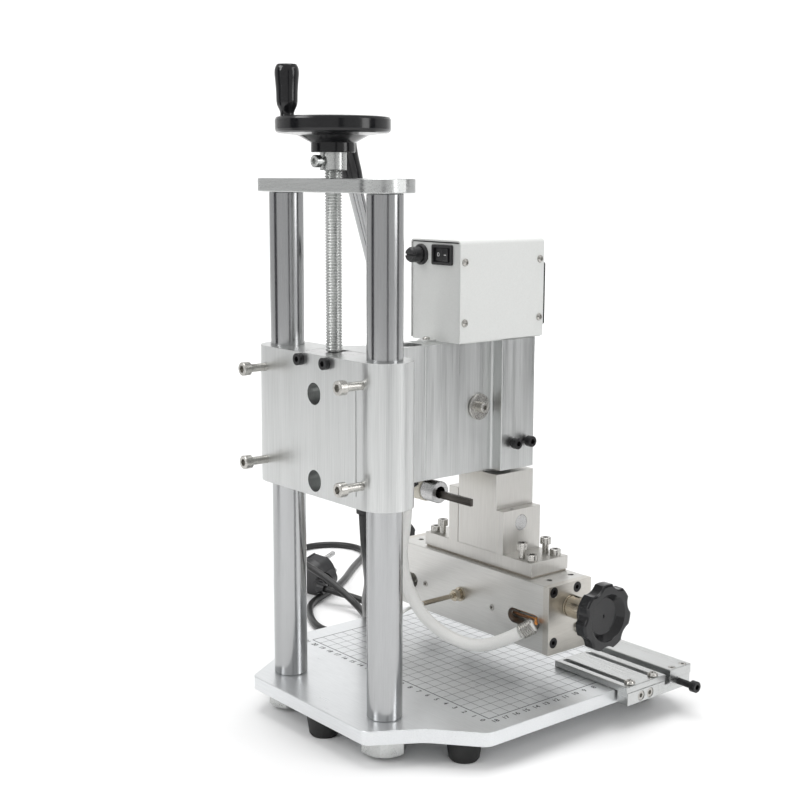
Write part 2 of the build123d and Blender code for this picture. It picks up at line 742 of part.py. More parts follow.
with BuildPart() as fuse_holder:
    with BuildSketch(lathe_y(127.0, 315.7)):
        with BuildLine():
            Polyline((-68.0, 2.0), (-68.0, 5.2), (-44.9, 5.2), (-44.9, 6.0), (-43.7, 6.0), (-43.7, 7.8), (-42.3, 7.8),
                     (-41.4, 7.0), (-41.4, 4.0), (-60.0, 4.0), (-60.0, 2.0), close=True)
        make_face()
    revolve(axis=axis_y(127.0, 315.7))
    # nut behind the panel
    with BuildSketch(front(-45.0)):
        with Locations((127.0, 315.7)):
            RegularPolygon(radius=6.8, side_count=6, major_radius=False)
            Circle(5.2, mode=Mode.SUBTRACT)
    extrude(amount=3)
save(fuse_holder, "fuse_holder")

with BuildPart() as fuse_cap:
    with BuildSketch(lathe_y(127.0, 315.7)):
        with BuildLine():
            Polyline((-58.0, 0), (-58.0, 3.95), (-41.0, 3.95), (-41.0, 5.6), (-40.2, 6.0), (-33.2, 5.7),
                     (-31.5, 4.6), (-31.5, 0), close=True)
        make_face()
    revolve(axis=axis_y(127.0, 315.7))
    with BuildSketch(front(-31.5)):
        with Locations((127.0, 315.7)):
            Rectangle(12, 1.4)
            with PolarLocations(6.1, 10, start_angle=18):
                Circle(0.7)
    extrude(amount=2.2, mode=Mode.SUBTRACT)
save(fuse_cap, "fuse_cap")

with BuildPart() as temperature_controller:
    with BuildSketch(front(-129.0)):
        with Locations((107.0, 284.8)):
            RectangleRounded(48, 48, 2)
    extrude(amount=3.0)
    chamfer(temperature_controller.faces().sort_by(Axis.Y)[0].edges(), 0.8)
    with BuildSketch(front(-129.0)):
        with Locations((107.0, 284.8)):
            Rectangle(42.0, 44.0)
    extrude(amount=-70.7)
    # recessed display window and four membrane keys
    with BuildSketch(front(-132.0)):
        with Locations((107.0, 292.3)):
            RectangleRounded(41, 25, 1.5)
    extrude(amount=-0.8, mode=Mode.SUBTRACT)
    with BuildSketch(front(-132.0)):
        with Locations((93.5, 268.6), (102.5, 268.6), (111.5, 268.6), (120.5, 268.6)):
            RectangleRounded(6.4, 4.6, 1.1)
            RectangleRounded(5.6, 3.8, 0.8, mode=Mode.SUBTRACT)
    extrude(amount=-0.4, mode=Mode.SUBTRACT)
save(temperature_controller, "temperature_controller")

# ============================================================ lever, shaft and pinion
def tooth_ring(teeth, r_pitch, half_pitch, up, down, slope):
    """Corner points of a gear with straight flanked teeth, drawn about the pivot."""
    pts = []
    for k in range(teeth):
        mid = math.radians(180 + 360 / teeth * (k + 0.5))
        for rad, half in ((r_pitch - down, half_pitch + down * slope), (r_pitch + up, half_pitch - up * slope)):
            pts.append((rad, mid, half / rad))
    ring = []
    for k in range(teeth):
        r0, m, a0 = pts[2 * k]
        r1, _, a1 = pts[2 * k + 1]
        for rad, ang in ((r0, m - a0), (r1, m - a1), (r1, m + a1), (r0, m + a0)):
            ring.append((PIV_Y + rad * math.cos(ang), PIV_Z + rad * math.sin(ang)))
    return ring


with BuildPart() as pinion_shaft:
    with BuildSketch(side(98.0)):
        with BuildLine():
            Polyline(*tooth_ring(TEETH, PITCH_R, 0.94, 1.25, 1.65, 0.36), close=True)
        make_face()
    extrude(amount=18)
    with BuildSketch(lathe_x(PIV_Y, PIV_Z)):
        with BuildLine():
            Polyline((92.2, 0), (92.2, 5.6), (92.6, 6.0), (192.6, 6.0), (193.0, 5.6), (193.0, 0), close=True)
        make_face()
    revolve(axis=axis_x(PIV_Y, PIV_Z))
    with BuildSketch(side(92.2)):
        with Locations((PIV_Y, PIV_Z)):
            Circle(2.52)
    extrude(amount=12, mode=Mode.SUBTRACT)
save(pinion_shaft, "pinion_shaft")

with BuildPart() as shaft_washer:
    with BuildSketch(side(90.2)):
        with Locations((PIV_Y, PIV_Z)):
            Circle(10.0)
            Circle(2.6, mode=Mode.SUBTRACT)
    extrude(amount=2.0)
    chamfer(shaft_washer.edges().group_by(Axis.X)[0], 0.3)

with BuildPart() as shaft_end_screw:
    with BuildSketch(lathe_x(PIV_Y, PIV_Z)):
        with BuildLine():
            Polyline((84.6, 0), (84.6, 3.3), (85.2, 3.9), (90.2, 3.9), (90.2, 2.5), (102, 2.5), (102, 0), close=True)
        make_face()
    revolve(axis=axis_x(PIV_Y, PIV_Z))
    with BuildSketch(side(84.6)):
        with Locations((PIV_Y, PIV_Z)):
            RegularPolygon(radius=2.1, side_count=6)
    extrude(amount=2.8, mode=Mode.SUBTRACT)

with BuildPart() as shaft_end_fastener:
    add(shaft_washer.part)
    add(shaft_end_screw.part)
save(shaft_end_fastener, "shaft_end_fastener")

with BuildPart() as lever_bearing:
    with BuildSketch(lathe_x(PIV_Y, PIV_Z)):
        with BuildLine():
            Polyline((117.6, 6 + FIT), (117.6, 13.95), (121.5, 13.95), (121.5, 13.0), (159.5, 13.0), (160.0, 12.5), (160.0, 6 + FIT), close=True)
        make_face()
    revolve(axis=axis_x(PIV_Y, PIV_Z))
save(lever_bearing, "lever_bearing")

SL, CL = math.sin(math.radians(LEAN)), math.cos(math.radians(LEAN))
PIVOT = pt((LEVER_X, PIV_Y, PIV_Z))
lever_across = Plane(origin=PIVOT, x_dir=(1, 0, 0), z_dir=(0, SL, CL))
lever_along = Plane(origin=PIVOT, x_dir=(1, 0, 0), z_dir=(0, -CL, SL))
lever_axis = Axis(PIVOT, (0, SL, CL))

with BuildPart() as lever_hub:
    with BuildSketch(side(163)):
        with Locations((PIV_Y, PIV_Z)):
            Circle(16)
    extrude(amount=30)
    chamfer(lever_hub.edges().filter_by(GeomType.CIRCLE), 0.8)
    with BuildSketch(side(163)):
        with Locations((PIV_Y, PIV_Z)):
            Circle(6.02)
    extrude(amount=30, mode=Mode.SUBTRACT)
    with BuildSketch(lever_across.offset(6.6)):
        Circle(5.77)
    extrude(amount=14, mode=Mode.SUBTRACT)
save(lever_hub, "lever_hub")

with BuildPart() as lever_rod:
    with BuildSketch(lever_across.offset(6.7)):
        Circle(5.75)
    extrude(amount=208)
    chamfer(lever_rod.edges(), 0.5)
save(lever_rod, "lever_rod")

with BuildPart() as lever_grip:
    with BuildSketch(lever_along):
        with BuildLine():
            Line((5.8, 172), (6.6, 172))
            Spline((6.6, 172), (7.2, 174), (8.6, 192), (10.6, 212), (10.9, 219), (8.6, 224.6), (0, 226.6))
            Polyline((0, 226.6), (0, 215), (5.8, 215), (5.8, 172))
        make_face()
    revolve(axis=lever_axis)
save(lever_grip, "lever_grip")

# ============================================================ ram with rack
RACK = MODULE * math.pi
RACK_PITCH_Y = PIV_Y - PITCH_R
rack_edge = []
for k in range(-1, 7):
    zc = PIV_Z + RACK * k
    for yy, half in ((RACK_PITCH_Y - 1.65, 0.94 + 1.65 * 0.36), (RACK_PITCH_Y + 1.25, 0.94 - 1.25 * 0.36)):
        rack_edge.append((yy, zc, half))
ram_outline = [(RAM_Y0, NECK_Z1), (RAM_Y1, NECK_Z1), (RAM_Y1, 188.0), (RACK_PITCH_Y - 1.65, 191.0)]
for k in range(8):
    y0, zc, h0 = rack_edge[2 * k]
    y1, _, h1 = rack_edge[2 * k + 1]
    ram_outline += [(y0, zc - h0), (y1, zc - h1), (y1, zc + h1), (y0, zc + h0)]
ram_outline += [(RACK_PITCH_Y - 1.65, 236.0), (RAM_Y0, 236.0)]
with BuildPart() as ram:
    with BuildSketch(side(RAM_X0)):
        with BuildLine():
            Polyline(*ram_outline, close=True)
        make_face()
    extrude(amount=RAM_X1 - RAM_X0)
    # tenon into the neck
    with BuildSketch(top(128)):
        with Locations((107.0, -98.0)):
            Rectangle(14, 18)
    extrude(amount=NECK_Z1 - 128)
    # spring bore and the slot that the stop screw runs in
    with BuildSketch(top(166)):
        with Locations((107.0, -97.5)):
            Circle(5.7)
    extrude(amount=62, mode=Mode.SUBTRACT)
    with BuildSketch(side(RAM_X0)):
        with Locations((-97.5, 179.3)):
            SlotOverall(20.8, 6.0, rotation=90)
    extrude(amount=RAM_X1 - RAM_X0, mode=Mode.SUBTRACT)
save(ram, "ram")

# compression spring between the fixed stop screw and the roof of the ram's bore
with BuildPart() as return_spring:
    with BuildLine(Plane(origin=pt((107.0, -97.5, 175.3)))) as coil:
        Helix(pitch=4.9, height=51.45, radius=4.3)
    with BuildSketch(Plane(origin=coil.line @ 0, z_dir=coil.line % 0)):
        Circle(0.7)
    sweep(is_frenet=True)
save(return_spring, "return_spring")

with BuildPart() as block_screws:
    with BuildSketch(side(74.2)):
        with Locations((-97.5, 171.8), (-112.5, 171.8)):
            Circle(4.25)
    extrude(amount=5)
    chamfer(block_screws.edges().group_by(Axis.X)[0], 0.4)
    with BuildSketch(side(79.2)):
        with Locations((-97.5, 171.8)):
            Circle(2.5)
    extrude(amount=122 - 79.2)
    with BuildSketch(side(79.2)):
        with Locations((-112.5, 171.8)):
            Circle(2.5)
    extrude(amount=96.4 - 79.2)
    with BuildSketch(side(74.2)):
        with Locations((-97.5, 171.8), (-112.5, 171.8)):
            RegularPolygon(radius=2.3, side_count=6)
    extrude(amount=2.8, mode=Mode.SUBTRACT)

with BuildPart() as head_socket_screws:
    add(retainer_screws.part)
    add(block_screws.part)
save(head_socket_screws, "head_socket_screws")

# ============================================================ neck, bracket, hot beam
with BuildPart() as neck_block:
    with BuildSketch(top(NECK_Z0)):
        with Locations((104.0, -102.0)):
            Rectangle(43.6, 39.4)
    extrude(amount=NECK_Z1 - NECK_Z0)
    chamfer(upright_near(neck_block, [(82.2, -82.3), (82.2, -121.7), (125.8, -82.3), (125.8, -121.7)]), 0.4)
    with BuildSketch(top(128)):
        with Locations((107.0, -98.0)):
            Rectangle(14, 18)
    extrude(amount=30, mode=Mode.SUBTRACT)
    with BuildSketch(side(80)):
        with Locations((-101.5, 109.5)):
            Circle(6.3)
    extrude(amount=50, mode=Mode.SUBTRACT)
save(neck_block, "neck_block")

with BuildPart() as bracket:
    with BuildSketch(top(76.2)):
        with Locations((104.85, -102.5)):
            Rectangle(122.3, 39)
    extrude(amount=10.4)
    chamfer([e for e in bracket.edges().group_by(Axis.Z)[-1]], 0.3)
    with BuildSketch(top(86.6)):
        with Locations((78.15, -102.15)):
            Rectangle(7.7, 39.7)
    extrude(amount=33.9)
    with BuildSketch(top(86.6)):
        with Locations((131.25, -102.15)):
            Rectangle(10.5, 39.7)
    extrude(amount=44.4)
    with BuildSketch(side(70)):
        with Locations((-101.5, 109.5)):
            Circle(6.3)
    extrude(amount=70, mode=Mode.SUBTRACT)
    with BuildSketch(top(130)):
        with Locations((78.15, -95.0)):
            Circle(1.7)
    extrude(amount=-22, mode=Mode.SUBTRACT)
    with BuildSketch(top(88)):
        with Locations((59.3, -88.5), (59.3, -113.5), (151.0, -88.5), (151.0, -113.5),
                       (49.7, -89.5), (49.7, -114.5), (160.5, -89.5), (160.5, -114.5)):
            Circle(2.55)
    extrude(amount=-15, mode=Mode.SUBTRACT)
save(bracket, "bracket")

with BuildPart() as pivot_pin:
    with BuildSketch(side(74.2)):
        with Locations((-101.5, 109.5)):
            Circle(6.25)
    extrude(amount=62.4)
    chamfer(pivot_pin.edges(), 0.3)
save(pivot_pin, "pivot_pin")

with BuildPart() as insulation_plate:
    with BuildSketch(top(75.0)):
        with Locations((104.85, -102.3)):
            Rectangle(120.5, 37.4)
        with Locations((59.3, -88.5), (59.3, -113.5), (151.0, -88.5), (151.0, -113.5),
                       (49.7, -89.5), (49.7, -114.5), (160.5, -89.5), (160.5, -114.5)):
            Circle(2.8, mode=Mode.SUBTRACT)
    extrude(amount=1.2)
save(insulation_plate, "insulation_plate")

MOUNT = [(49.7, -89.5), (49.7, -114.5), (160.5, -89.5), (160.5, -114.5)]
with BuildPart() as mounting_screws:
    with BuildSketch(top(86.6)):
        with Locations(*MOUNT):
            Circle(4.2)
    extrude(amount=5)
    chamfer(mounting_screws.edges().group_by(Axis.Z)[-1], 0.4)
    with BuildSketch(top(86.6)):
        with Locations(*MOUNT):
            Circle(2.5)
    extrude(amount=-22)
    with BuildSketch(top(91.6)):
        with Locations(*MOUNT):
            RegularPolygon(radius=2.3, side_count=6)
    extrude(amount=-2.8, mode=Mode.SUBTRACT)

LEVEL = [(59.3, -88.5), (59.3, -113.5), (151.0, -88.5), (151.0, -113.5)]
with BuildPart() as levelling_screws:
    with BuildSketch(top(94.0)):
        with Locations(*LEVEL):
            Circle(4.2)
    extrude(amount=5)
    chamfer(levelling_screws.edges().group_by(Axis.Z)[-1], 0.4)
    with BuildSketch(top(94.0)):
        with Locations(*LEVEL):
            Circle(2.5)
    extrude(amount=-(94.0 - 75.05))
    with BuildSketch(top(99.0)):
        with Locations(*LEVEL):
            RegularPolygon(radius=2.3, side_count=6)
    extrude(amount=-2.8, mode=Mode.SUBTRACT)

with BuildPart() as bracket_screws:
    add(mounting_screws.part)
    add(levelling_screws.part)
save(bracket_screws, "bracket_screws")

with BuildPart() as heated_beam:
    with BuildSketch(side(BEAM_X0)):
        with Locations(((BEAM_Y0 + BEAM_Y1) / 2, (BEAM_Z0 + BEAM_Z1) / 2)):
            Rectangle(BEAM_Y1 - BEAM_Y0, BEAM_Z1 - BEAM_Z0)
        # jaw slideway open to the underside, web slot and screw tunnel
        with Locations((KNOB_Y, 30.0)):
            Rectangle(24.1, 15.2, mode=Mode.SUBTRACT)
        with Locations((KNOB_Y, 44.0)):
            Rectangle(8.1, 16, mode=Mode.SUBTRACT)
        with Locations((KNOB_Y, KNOB_Z)):
            Circle(7.55, mode=Mode.SUBTRACT)
        # heater bores
        with Locations((-86.0, 44.6), (-113.0, 44.6)):
            Circle(4.85, mode=Mode.SUBTRACT)
    extrude(amount=BEAM_X1 - BEAM_X0)
    chamfer([e for e in heated_beam.edges().filter_by(Axis.X)
             if e.center().Y > BEAM_Y1 - OY - 0.1 or e.center().Y < BEAM_Y0 - OY + 0.1], 0.4)
    # wire pockets in the rear face
    with BuildSketch(front(BEAM_Y1)):
        with Locations((45.0, 44.8)):
            SlotOverall(34, 11.6)
        with Locations((177.5, 44.3)):
            SlotOverall(17, 12.0)
    extrude(amount=13, mode=Mode.SUBTRACT)
    # tapped holes: clamp screws for the heaters, sensor, mounting, top face
    with BuildSketch(front(BEAM_Y1)):
        with Locations((80.0, 44.8), (159.0, 44.8)):
            Circle(2.55)
        with Locations((116.0, 46.8)):
            Circle(2.05)
    extrude(amount=5, mode=Mode.SUBTRACT)
    with BuildSketch(top(BEAM_Z1)):
        with Locations(*MOUNT):
            Circle(2.52)
        with Locations((33.0, -91.5), (33.0, -114.5), (181.5, -91.5), (181.5, -114.5)):
            Circle(2.3)
    extrude(amount=-11, mode=Mode.SUBTRACT)
    for x0, d in ((BEAM_X0, 1), (BEAM_X1, -1)):
        with BuildSketch(side(x0)):
            with Locations((-82.3, 70.4), (-107.0, 70.2), (-82.6, 31.5), (-116.6, 31.5)):
                Circle(2.15)
            with Locations((-109.0, 38.4)):
                Circle(1.6)
        extrude(amount=d * 15, mode=Mode.SUBTRACT)
save(heated_beam, "heated_beam")

PLATE_HOLES = [(-82.3, 70.4), (-107.0, 70.2), (-82.6, 31.5), (-116.6, 31.5)]
with BuildPart() as end_plates:
    for x0 in (19.0, 189.5):
        with BuildSketch(side(x0)):
            with Locations(((BEAM_Y0 + BEAM_Y1) / 2, (BEAM_Z0 + BEAM_Z1) / 2)):
                Rectangle(BEAM_Y1 - BEAM_Y0, BEAM_Z1 - BEAM_Z0)
            with Locations((KNOB_Y, KNOB_Z)):
                Circle(5.0 + FIT, mode=Mode.SUBTRACT)
            with Locations(*PLATE_HOLES):
                Circle(2.3, mode=Mode.SUBTRACT)
            with Locations((-109.0, 38.4)):
                Circle(1.6, mode=Mode.SUBTRACT)
        extrude(amount=6)
    for x0, d in ((19.0, 1), (195.5, -1)):
        with BuildSketch(side(x0)):
            with Locations(*PLATE_HOLES):
                Circle(4.1)
        extrude(amount=d * 4.2, mode=Mode.SUBTRACT)
save(end_plates, "end_plates")

with BuildPart() as end_plate_screws:
    for x0, d in ((19.1, 1), (195.4, -1)):
        with BuildSketch(side(x0)):
            with Locations(*PLATE_HOLES):
                Circle(4.0)
        extrude(amount=d * 4.1)
        with BuildSketch(side(x0)):
            with Locations(*PLATE_HOLES):
                Circle(2.1)
        extrude(amount=d * 16)
        with BuildSketch(side(x0)):
            with Locations(*PLATE_HOLES):
                RegularPolygon(radius=1.9, side_count=6)
        extrude(amount=d * 2.4, mode=Mode.SUBTRACT)

with BuildPart() as earth_screw:
    with BuildSketch(lathe_x(-109.0, 38.4)):
        with BuildLine():
            Polyline((15.2, 0), (15.6, 2.4), (16.6, 3.4), (17.6, 3.4), (17.6, 4.2), (19.0, 4.2), (19.0, 1.55),
                     (24.6, 1.55), (24.6, 0), close=True)
        make_face()
    revolve(axis=axis_x(-109.0, 38.4))

with BuildPart() as heater_cartridges:
    with BuildSketch(side(62.0)):
        with Locations((-86.0, 44.6), (-113.0, 44.6)):
            Circle(4.8)
    extrude(amount=107)
    chamfer(heater_cartridges.edges().filter_by(GeomType.CIRCLE), 0.5)

with BuildPart() as heater_set_screws:
    with BuildSketch(front(-76.6)):
        with Locations((80.0, 44.8), (159.0, 44.8)):
            Circle(2.5)
    extrude(amount=4.4)
    with BuildSketch(front(-76.6)):
        with Locations((80.0, 44.8), (159.0, 44.8)):
            RegularPolygon(radius=1.45, side_count=6)
    extrude(amount=2, mode=Mode.SUBTRACT)

with BuildPart() as beam_screws:
    add(end_plate_screws.part)
    add(earth_screw.part)
    add(heater_set_screws.part)
save(beam_screws, "beam_screws")

with BuildPart() as heater_leads:
    for k, (dy, dz) in enumerate(((-1.6, 1.5), (1.6, -0.6), (-0.6, -2.4))):
        with BuildLine() as wire:
            FilletPolyline(pt((61.9, -86.0 + dy, 44.6 + dz)), pt((50.0, -86.0 + dy, 44.6 + dz)),
                           pt((36.1, -81.8 + dy * 0.6, 46.9 + dz * 0.8)),
                           pt((28.2 + dz * 0.3, -72.8 + dy * 0.2, 46.9 + dz * 0.4)), radius=8)
        with BuildSketch(Plane(origin=wire.line @ 0, z_dir=wire.line % 0)):
            Circle(0.8)
        sweep()

with BuildPart() as heaters:
    add(heater_cartridges.part)
    add(heater_leads.part)
save(heaters, "heaters")

with BuildPart() as thermocouple:
    with BuildSketch(lathe_y(116.0, 46.8)):
        with BuildLine():
            Polyline((-81.0, 0), (-81.0, 2.0), (-77.0, 2.0), (-77.0, 5.6), (-75.2, 5.6), (-75.2, 3.4), (-73.2, 3.4),
                     (-73.2, 2.6), (-68.6, 2.6), (-68.6, 1.95), (-38.0, 1.95), (-38.0, 0), close=True)
        make_face()
    revolve(axis=axis_y(116.0, 46.8))
    with BuildSketch(front(-69.2)):
        with Locations((116.0, 46.8)):
            RegularPolygon(radius=4.0, side_count=6, major_radius=False, rotation=8)
    extrude(amount=4.0)
save(thermocouple, "thermocouple")

# ============================================================ clamp knobs and jaws
for tag, sgn, x_face in (("left", -1, 19.0), ("right", 1, 195.5)):
    # captive clamp screw: bronze collar outside, journal in the end plate,
    # thrust ring inside, thread to the jaw
    def out(d):
        return x_face + sgn * d

    with BuildPart() as clamp_screw:
        with BuildSketch(lathe_x(KNOB_Y, KNOB_Z)):
            with BuildLine():
                Polyline((out(28.0), 0), (out(28.0), 8.3), (out(27.6), 8.5), (out(3.2), 8.5), (out(3.2), 7.6),
                         (out(2.0), 7.6), (out(2.0), 8.5), (out(0.35), 8.5), (out(0.35), 5.0), (out(-6.35), 5.0),
                         (out(-6.35), 7.0), (out(-10.0), 7.0), (out(-10.0), 4.0), (out(-57.5), 4.0),
                         (out(-58.0), 3.5), (out(-58.0), 0), close=True)
            make_face()
        revolve(axis=axis_x(KNOB_Y, KNOB_Z))
    save(clamp_screw, f"clamp_screw_{tag}")

    with BuildPart() as knob:
        with BuildSketch(side(out(28.2))):
            with Locations((KNOB_Y, KNOB_Z)):
                Circle(25.0)
                with PolarLocations(33.4, 7, start_angle=12):
                    Circle(11.2, mode=Mode.SUBTRACT)
        extrude(amount=sgn * 10.2)
        fillet(knob.edges().group_by(Axis.X)[0], 1.6)
        fillet(knob.edges().group_by(Axis.X)[-1], 1.6)
        # dished outer face
        with BuildSketch(lathe_x(KNOB_Y, KNOB_Z)):
            with BuildLine():
                Polyline((out(38.6), 0), (out(38.6), 18.4), (out(38.2), 17.6), (out(33.4), 13.6), (out(33.0), 0),
                         close=True)
            make_face()
        revolve(axis=axis_x(KNOB_Y, KNOB_Z), mode=Mode.SUBTRACT)
        # hub towards the beam, bored for the bronze collar
        with BuildSketch(lathe_x(KNOB_Y, KNOB_Z)):
            with BuildLine():
                Polyline((out(18.4), 8.55), (out(18.4), 12.4), (out(19.4), 13.4), (out(28.4), 15.0), (out(28.4), 8.55),
                         close=True)
            make_face()
        revolve(axis=axis_x(KNOB_Y, KNOB_Z))
    save(knob, f"knob_{tag}")

    # jaw: foot in the slideway, web, nut in the tunnel
    with BuildPart() as jaw:
        with BuildSketch(side(out(-34.0))):
            with Locations((KNOB_Y, 30.375)):
                Rectangle(24.0, 14.35)
            with Locations((KNOB_Y, 44.5)):
                Rectangle(8.0, 14.4)
            with Locations((KNOB_Y, KNOB_Z)):
                Circle(7.5)
        extrude(amount=-sgn * 18)
        # undercut that grips the edge of a type plate
        with BuildSketch(front(KNOB_Y + 13)):
            with Locations((out(-52.0), 27.2)):
                Rectangle(5.0, 4.0)
        extrude(amount=26, mode=Mode.SUBTRACT)
        with BuildSketch(side(out(-30.0))):
            with Locations((KNOB_Y, KNOB_Z)):
                Circle(4.0 + FIT)
        extrude(amount=-sgn * 30, mode=Mode.SUBTRACT)
    save(jaw, f"jaw_{tag}")

# ============================================================ foil roller under the arm
with BuildPart() as foil_bracket:
    with BuildSketch(front(-34)):
        with BuildLine():
            Polyline((108.0, 149.0), (108.0, 151.0), (168.0, 151.0), (168.0, 130.5), (166.0, 130.5), (166.0, 149.0),
                     close=True)
        make_face()
    extrude(amount=12)
    # flat bar that carries the roller
    with BuildSketch(side(63.9)):
        with Locations((-40.0, 136.4)):
            Rectangle(2.4, 5.5)
    extrude(amount=103)
save(foil_bracket, "foil_bracket")

with BuildPart() as foil_axle:
    with BuildSketch(lathe_x(-40.0, 137.8)):
        with BuildLine():
            Polyline((99.2, 4.65), (99.2, 7.9), (99.8, 8.4), (112.6, 8.4), (113.2, 7.8), (113.2, 6.45), (150.0, 6.45),
                     (150.0, 7.8), (150.6, 8.4), (163.4, 8.4), (164.0, 7.8), (164.0, 4.65), close=True)
        make_face()
    revolve(axis=axis_x(-40.0, 137.8))
save(foil_axle, "foil_axle")

with BuildPart() as foil_roller:
    with BuildSketch(side(113.6)):
        with Locations((-40.0, 137.8)):
            Circle(9.2)
            Circle(6.45 + FIT, mode=Mode.SUBTRACT)
    extrude(amount=36.0)
save(foil_roller, "foil_roller")

# ============================================================ hose, sensor lead, power cord
with BuildPart() as hose_gland:
    with BuildSketch(top(146)):
        with Locations((107.0, -13.0)):
            RegularPolygon(radius=8.0, side_count=6, major_radius=False)
            Circle(3.6, mode=Mode.SUBTRACT)
    extrude(amount=5)
    with BuildSketch(top(151)):
        with Locations((107.0, -13.0)):
            Circle(5.35)
            Circle(3.6, mode=Mode.SUBTRACT)
    extrude(amount=9)

with BuildPart() as cord_strain_relief:
    with BuildSketch(lathe_z(107.0, 28.0)):
        with BuildLine():
            Polyline((4.1, 131.0), (4.8, 131.0), (5.8, 147.0), (7.6, 148.0), (7.6, 151.0), (5.45, 151.0),
                     (5.45, 160.0), (4.1, 160.0), close=True)
        make_face()
    revolve(axis=axis_z(107.0, 28.0))

with BuildPart() as cable_glands:
    add(hose_gland.part)
    add(cord_strain_relief.part)
save(cable_glands, "cable_glands")

HOSE_START = (28.5, -71.6, 45.2)
HOSE_DIR = (0.6217, 0.6017, -0.5014)
with BuildPart() as hose_strain_spring:
    with BuildSketch(Plane(origin=pt(HOSE_START), z_dir=HOSE_DIR)):
        Circle(5.2)
    extrude(amount=12)
    for k in range(6):
        ring = pt(HOSE_START) + Vector(*HOSE_DIR) * (0.5 + 2.0 * k)
        with BuildSketch(Plane(origin=ring, z_dir=HOSE_DIR)):
            Circle(6.0)
        extrude(amount=1.1)
save(hose_strain_spring, "hose_strain_spring")


def soft_line(points, diameter, name):
    """Tube along straight runs joined by tangent arcs; returns the radii."""
    pts = [pt(p) for p in points]
    radii = []
    for a, b, c in zip(pts, pts[1:], pts[2:]):
        u, v = b - a, c - b
        turn = math.radians(u.get_angle(v))
        radii.append(0.45 * min(u.length, v.length) / math.tan(turn / 2))
    with BuildPart() as tube:
        with BuildLine() as path:
            FilletPolyline(*pts, radius=radii)
        with BuildSketch(Plane(origin=path.line @ 0, z_dir=path.line % 0)):
            Circle(diameter / 2)
        sweep()
    length = sum(e.length for e in path.line.edges())
    print(name, "length %.1f" % length, "volume ratio %.4f" % (tube.part.volume / (math.pi * diameter ** 2 / 4 * length)),
          "radii", ["%.0f" % r for r in radii], "runs", ["%.0f" % (b - a).length for a, b in zip(pts, pts[1:])])
    save(tube, name)


HOSE = [(36.13, -64.22, 39.05), (46.7, -54.0, 30.5), (71.0, -44.5, 22.5), (100.0, -29.5, 36.0), (114.5, -20.5, 62.0),
        (117.0, -15.5, 91.0), (107.0, -13.0, 117.7), (107.0, -13.0, 145.9)]
soft_line(HOSE, HOSE_D, "heater_hose")

LEAD = [(116.0, -37.9, 46.8), (116.0, -24.0, 46.8), (108.0, -6.0, 45.0), (97.0, 5.5, 58.0), (93.0, 6.5, 84.0),
        (96.0, 2.0, 117.6), (97.5, 2.0, 150.8)]
soft_line(LEAD, LEAD_D, "thermocouple_lead")

CORD = [(107.0, 28.0, 132.0), (109.0, 25.0, 107.0), (126.0, 9.5, 83.0), (166.0, -23.5, 53.0), (212.0, -56.0, 24.0),
        (246.0, -83.0, -2.0), (275.0, -107.0, -21.5), (306.0, -122.5, -22.0), (337.0, -116.0, -5.0),
        (371.0, -106.5, 8.5), (408.0, -110.0, 9.0), (446.0, -130.0, -10.0), (482.0, -160.0, -24.7),
        (508.2, -188.9, -24.7), (515.9, -215.1, -24.7), (505.5, -240.4, -24.7), (481.4, -253.5, -24.7),
        (454.2, -247.5, -24.7), (424.0, -206.0, -24.7), (385.0, -162.0, -24.7), (367.0, -130.0, -24.7),
        (352.0, -99.0, -24.7), (324.0, -78.0, -24.7), (289.0, -62.0, -24.7), (262.0, -69.2, -24.7),
        (245.9, -92.1, -24.7), (248.3, -120.0, -24.7), (268.1, -139.8, -24.7), (297.0, -142.0, -24.0),
        (325.0, -129.5, -18.0), (351.7, -116.4, -14.0)]
soft_line(CORD, CORD_D, "power_cord")

# two pin mains plug lying on its edge, cable leaving from the side
PLUG_C = (384.0, -128.0, -9.4)
plug_plane = Plane(origin=pt(PLUG_C), x_dir=(-0.93, -0.10, -0.10), z_dir=(0.20, -0.95, 0.22))
relief_from = plug_plane.from_local_coords((16.0, 0, 0))
relief_to = pt(CORD[-1])
cord_dir = (pt(CORD[-1]) - pt(CORD[-2])).normalized()
relief_dir = (relief_from - relief_to).normalized()
with BuildPart() as plug_body:
    with BuildSketch(plug_plane.offset(-11)):
        Circle(16.5)
    with BuildSketch(plug_plane.offset(-2)):
        Circle(18.2)
    loft()
    with BuildSketch(plug_plane.offset(-2)):
        Circle(18.2)
    extrude(amount=13)
    with BuildSketch(plug_plane.offset(-2)):
        with Locations((0, 18.2), (0, -18.2)):
            Rectangle(15, 5, mode=Mode.ADD)
    extrude(amount=14, mode=Mode.SUBTRACT)
    # cable boss and ribbed strain relief, bent from the cable to the body
    with BuildSketch(Plane(origin=relief_to + cord_dir * 0.05, z_dir=cord_dir)):
        Circle(4.9)
    extrude(amount=7.4)
    elbow = relief_to + cord_dir * 7.0
    relief_dir = (relief_from - elbow).normalized()
    with BuildSketch(Plane(origin=elbow, z_dir=relief_dir)):
        Circle(5.0)
    with BuildSketch(Plane(origin=relief_from + relief_dir * 5, z_dir=relief_dir)):
        Circle(8.6)
    loft()
    for k in range(5):
        with BuildSketch(Plane(origin=elbow + relief_dir * (1.5 + 3.6 * k), z_dir=relief_dir)):
            Circle(6.4 + 0.55 * k)
        extrude(amount=1.6)

with BuildPart() as plug_pins:
    with BuildSketch(plug_plane.offset(11)):
        with Locations((0, 9.5), (0, -9.5)):
            Circle(2.4)
    extrude(amount=19)
    fillet([e for e in plug_pins.edges().filter_by(GeomType.CIRCLE)
            if plug_plane.to_local_coords(e.center()).Z > 29], 1.2)

with BuildPart() as mains_plug:
    add(plug_body.part)
    add(plug_pins.part)
save(mains_plug, "mains_plug")
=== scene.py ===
import bpy
import json
import math
from mathutils import Vector, Matrix, Euler

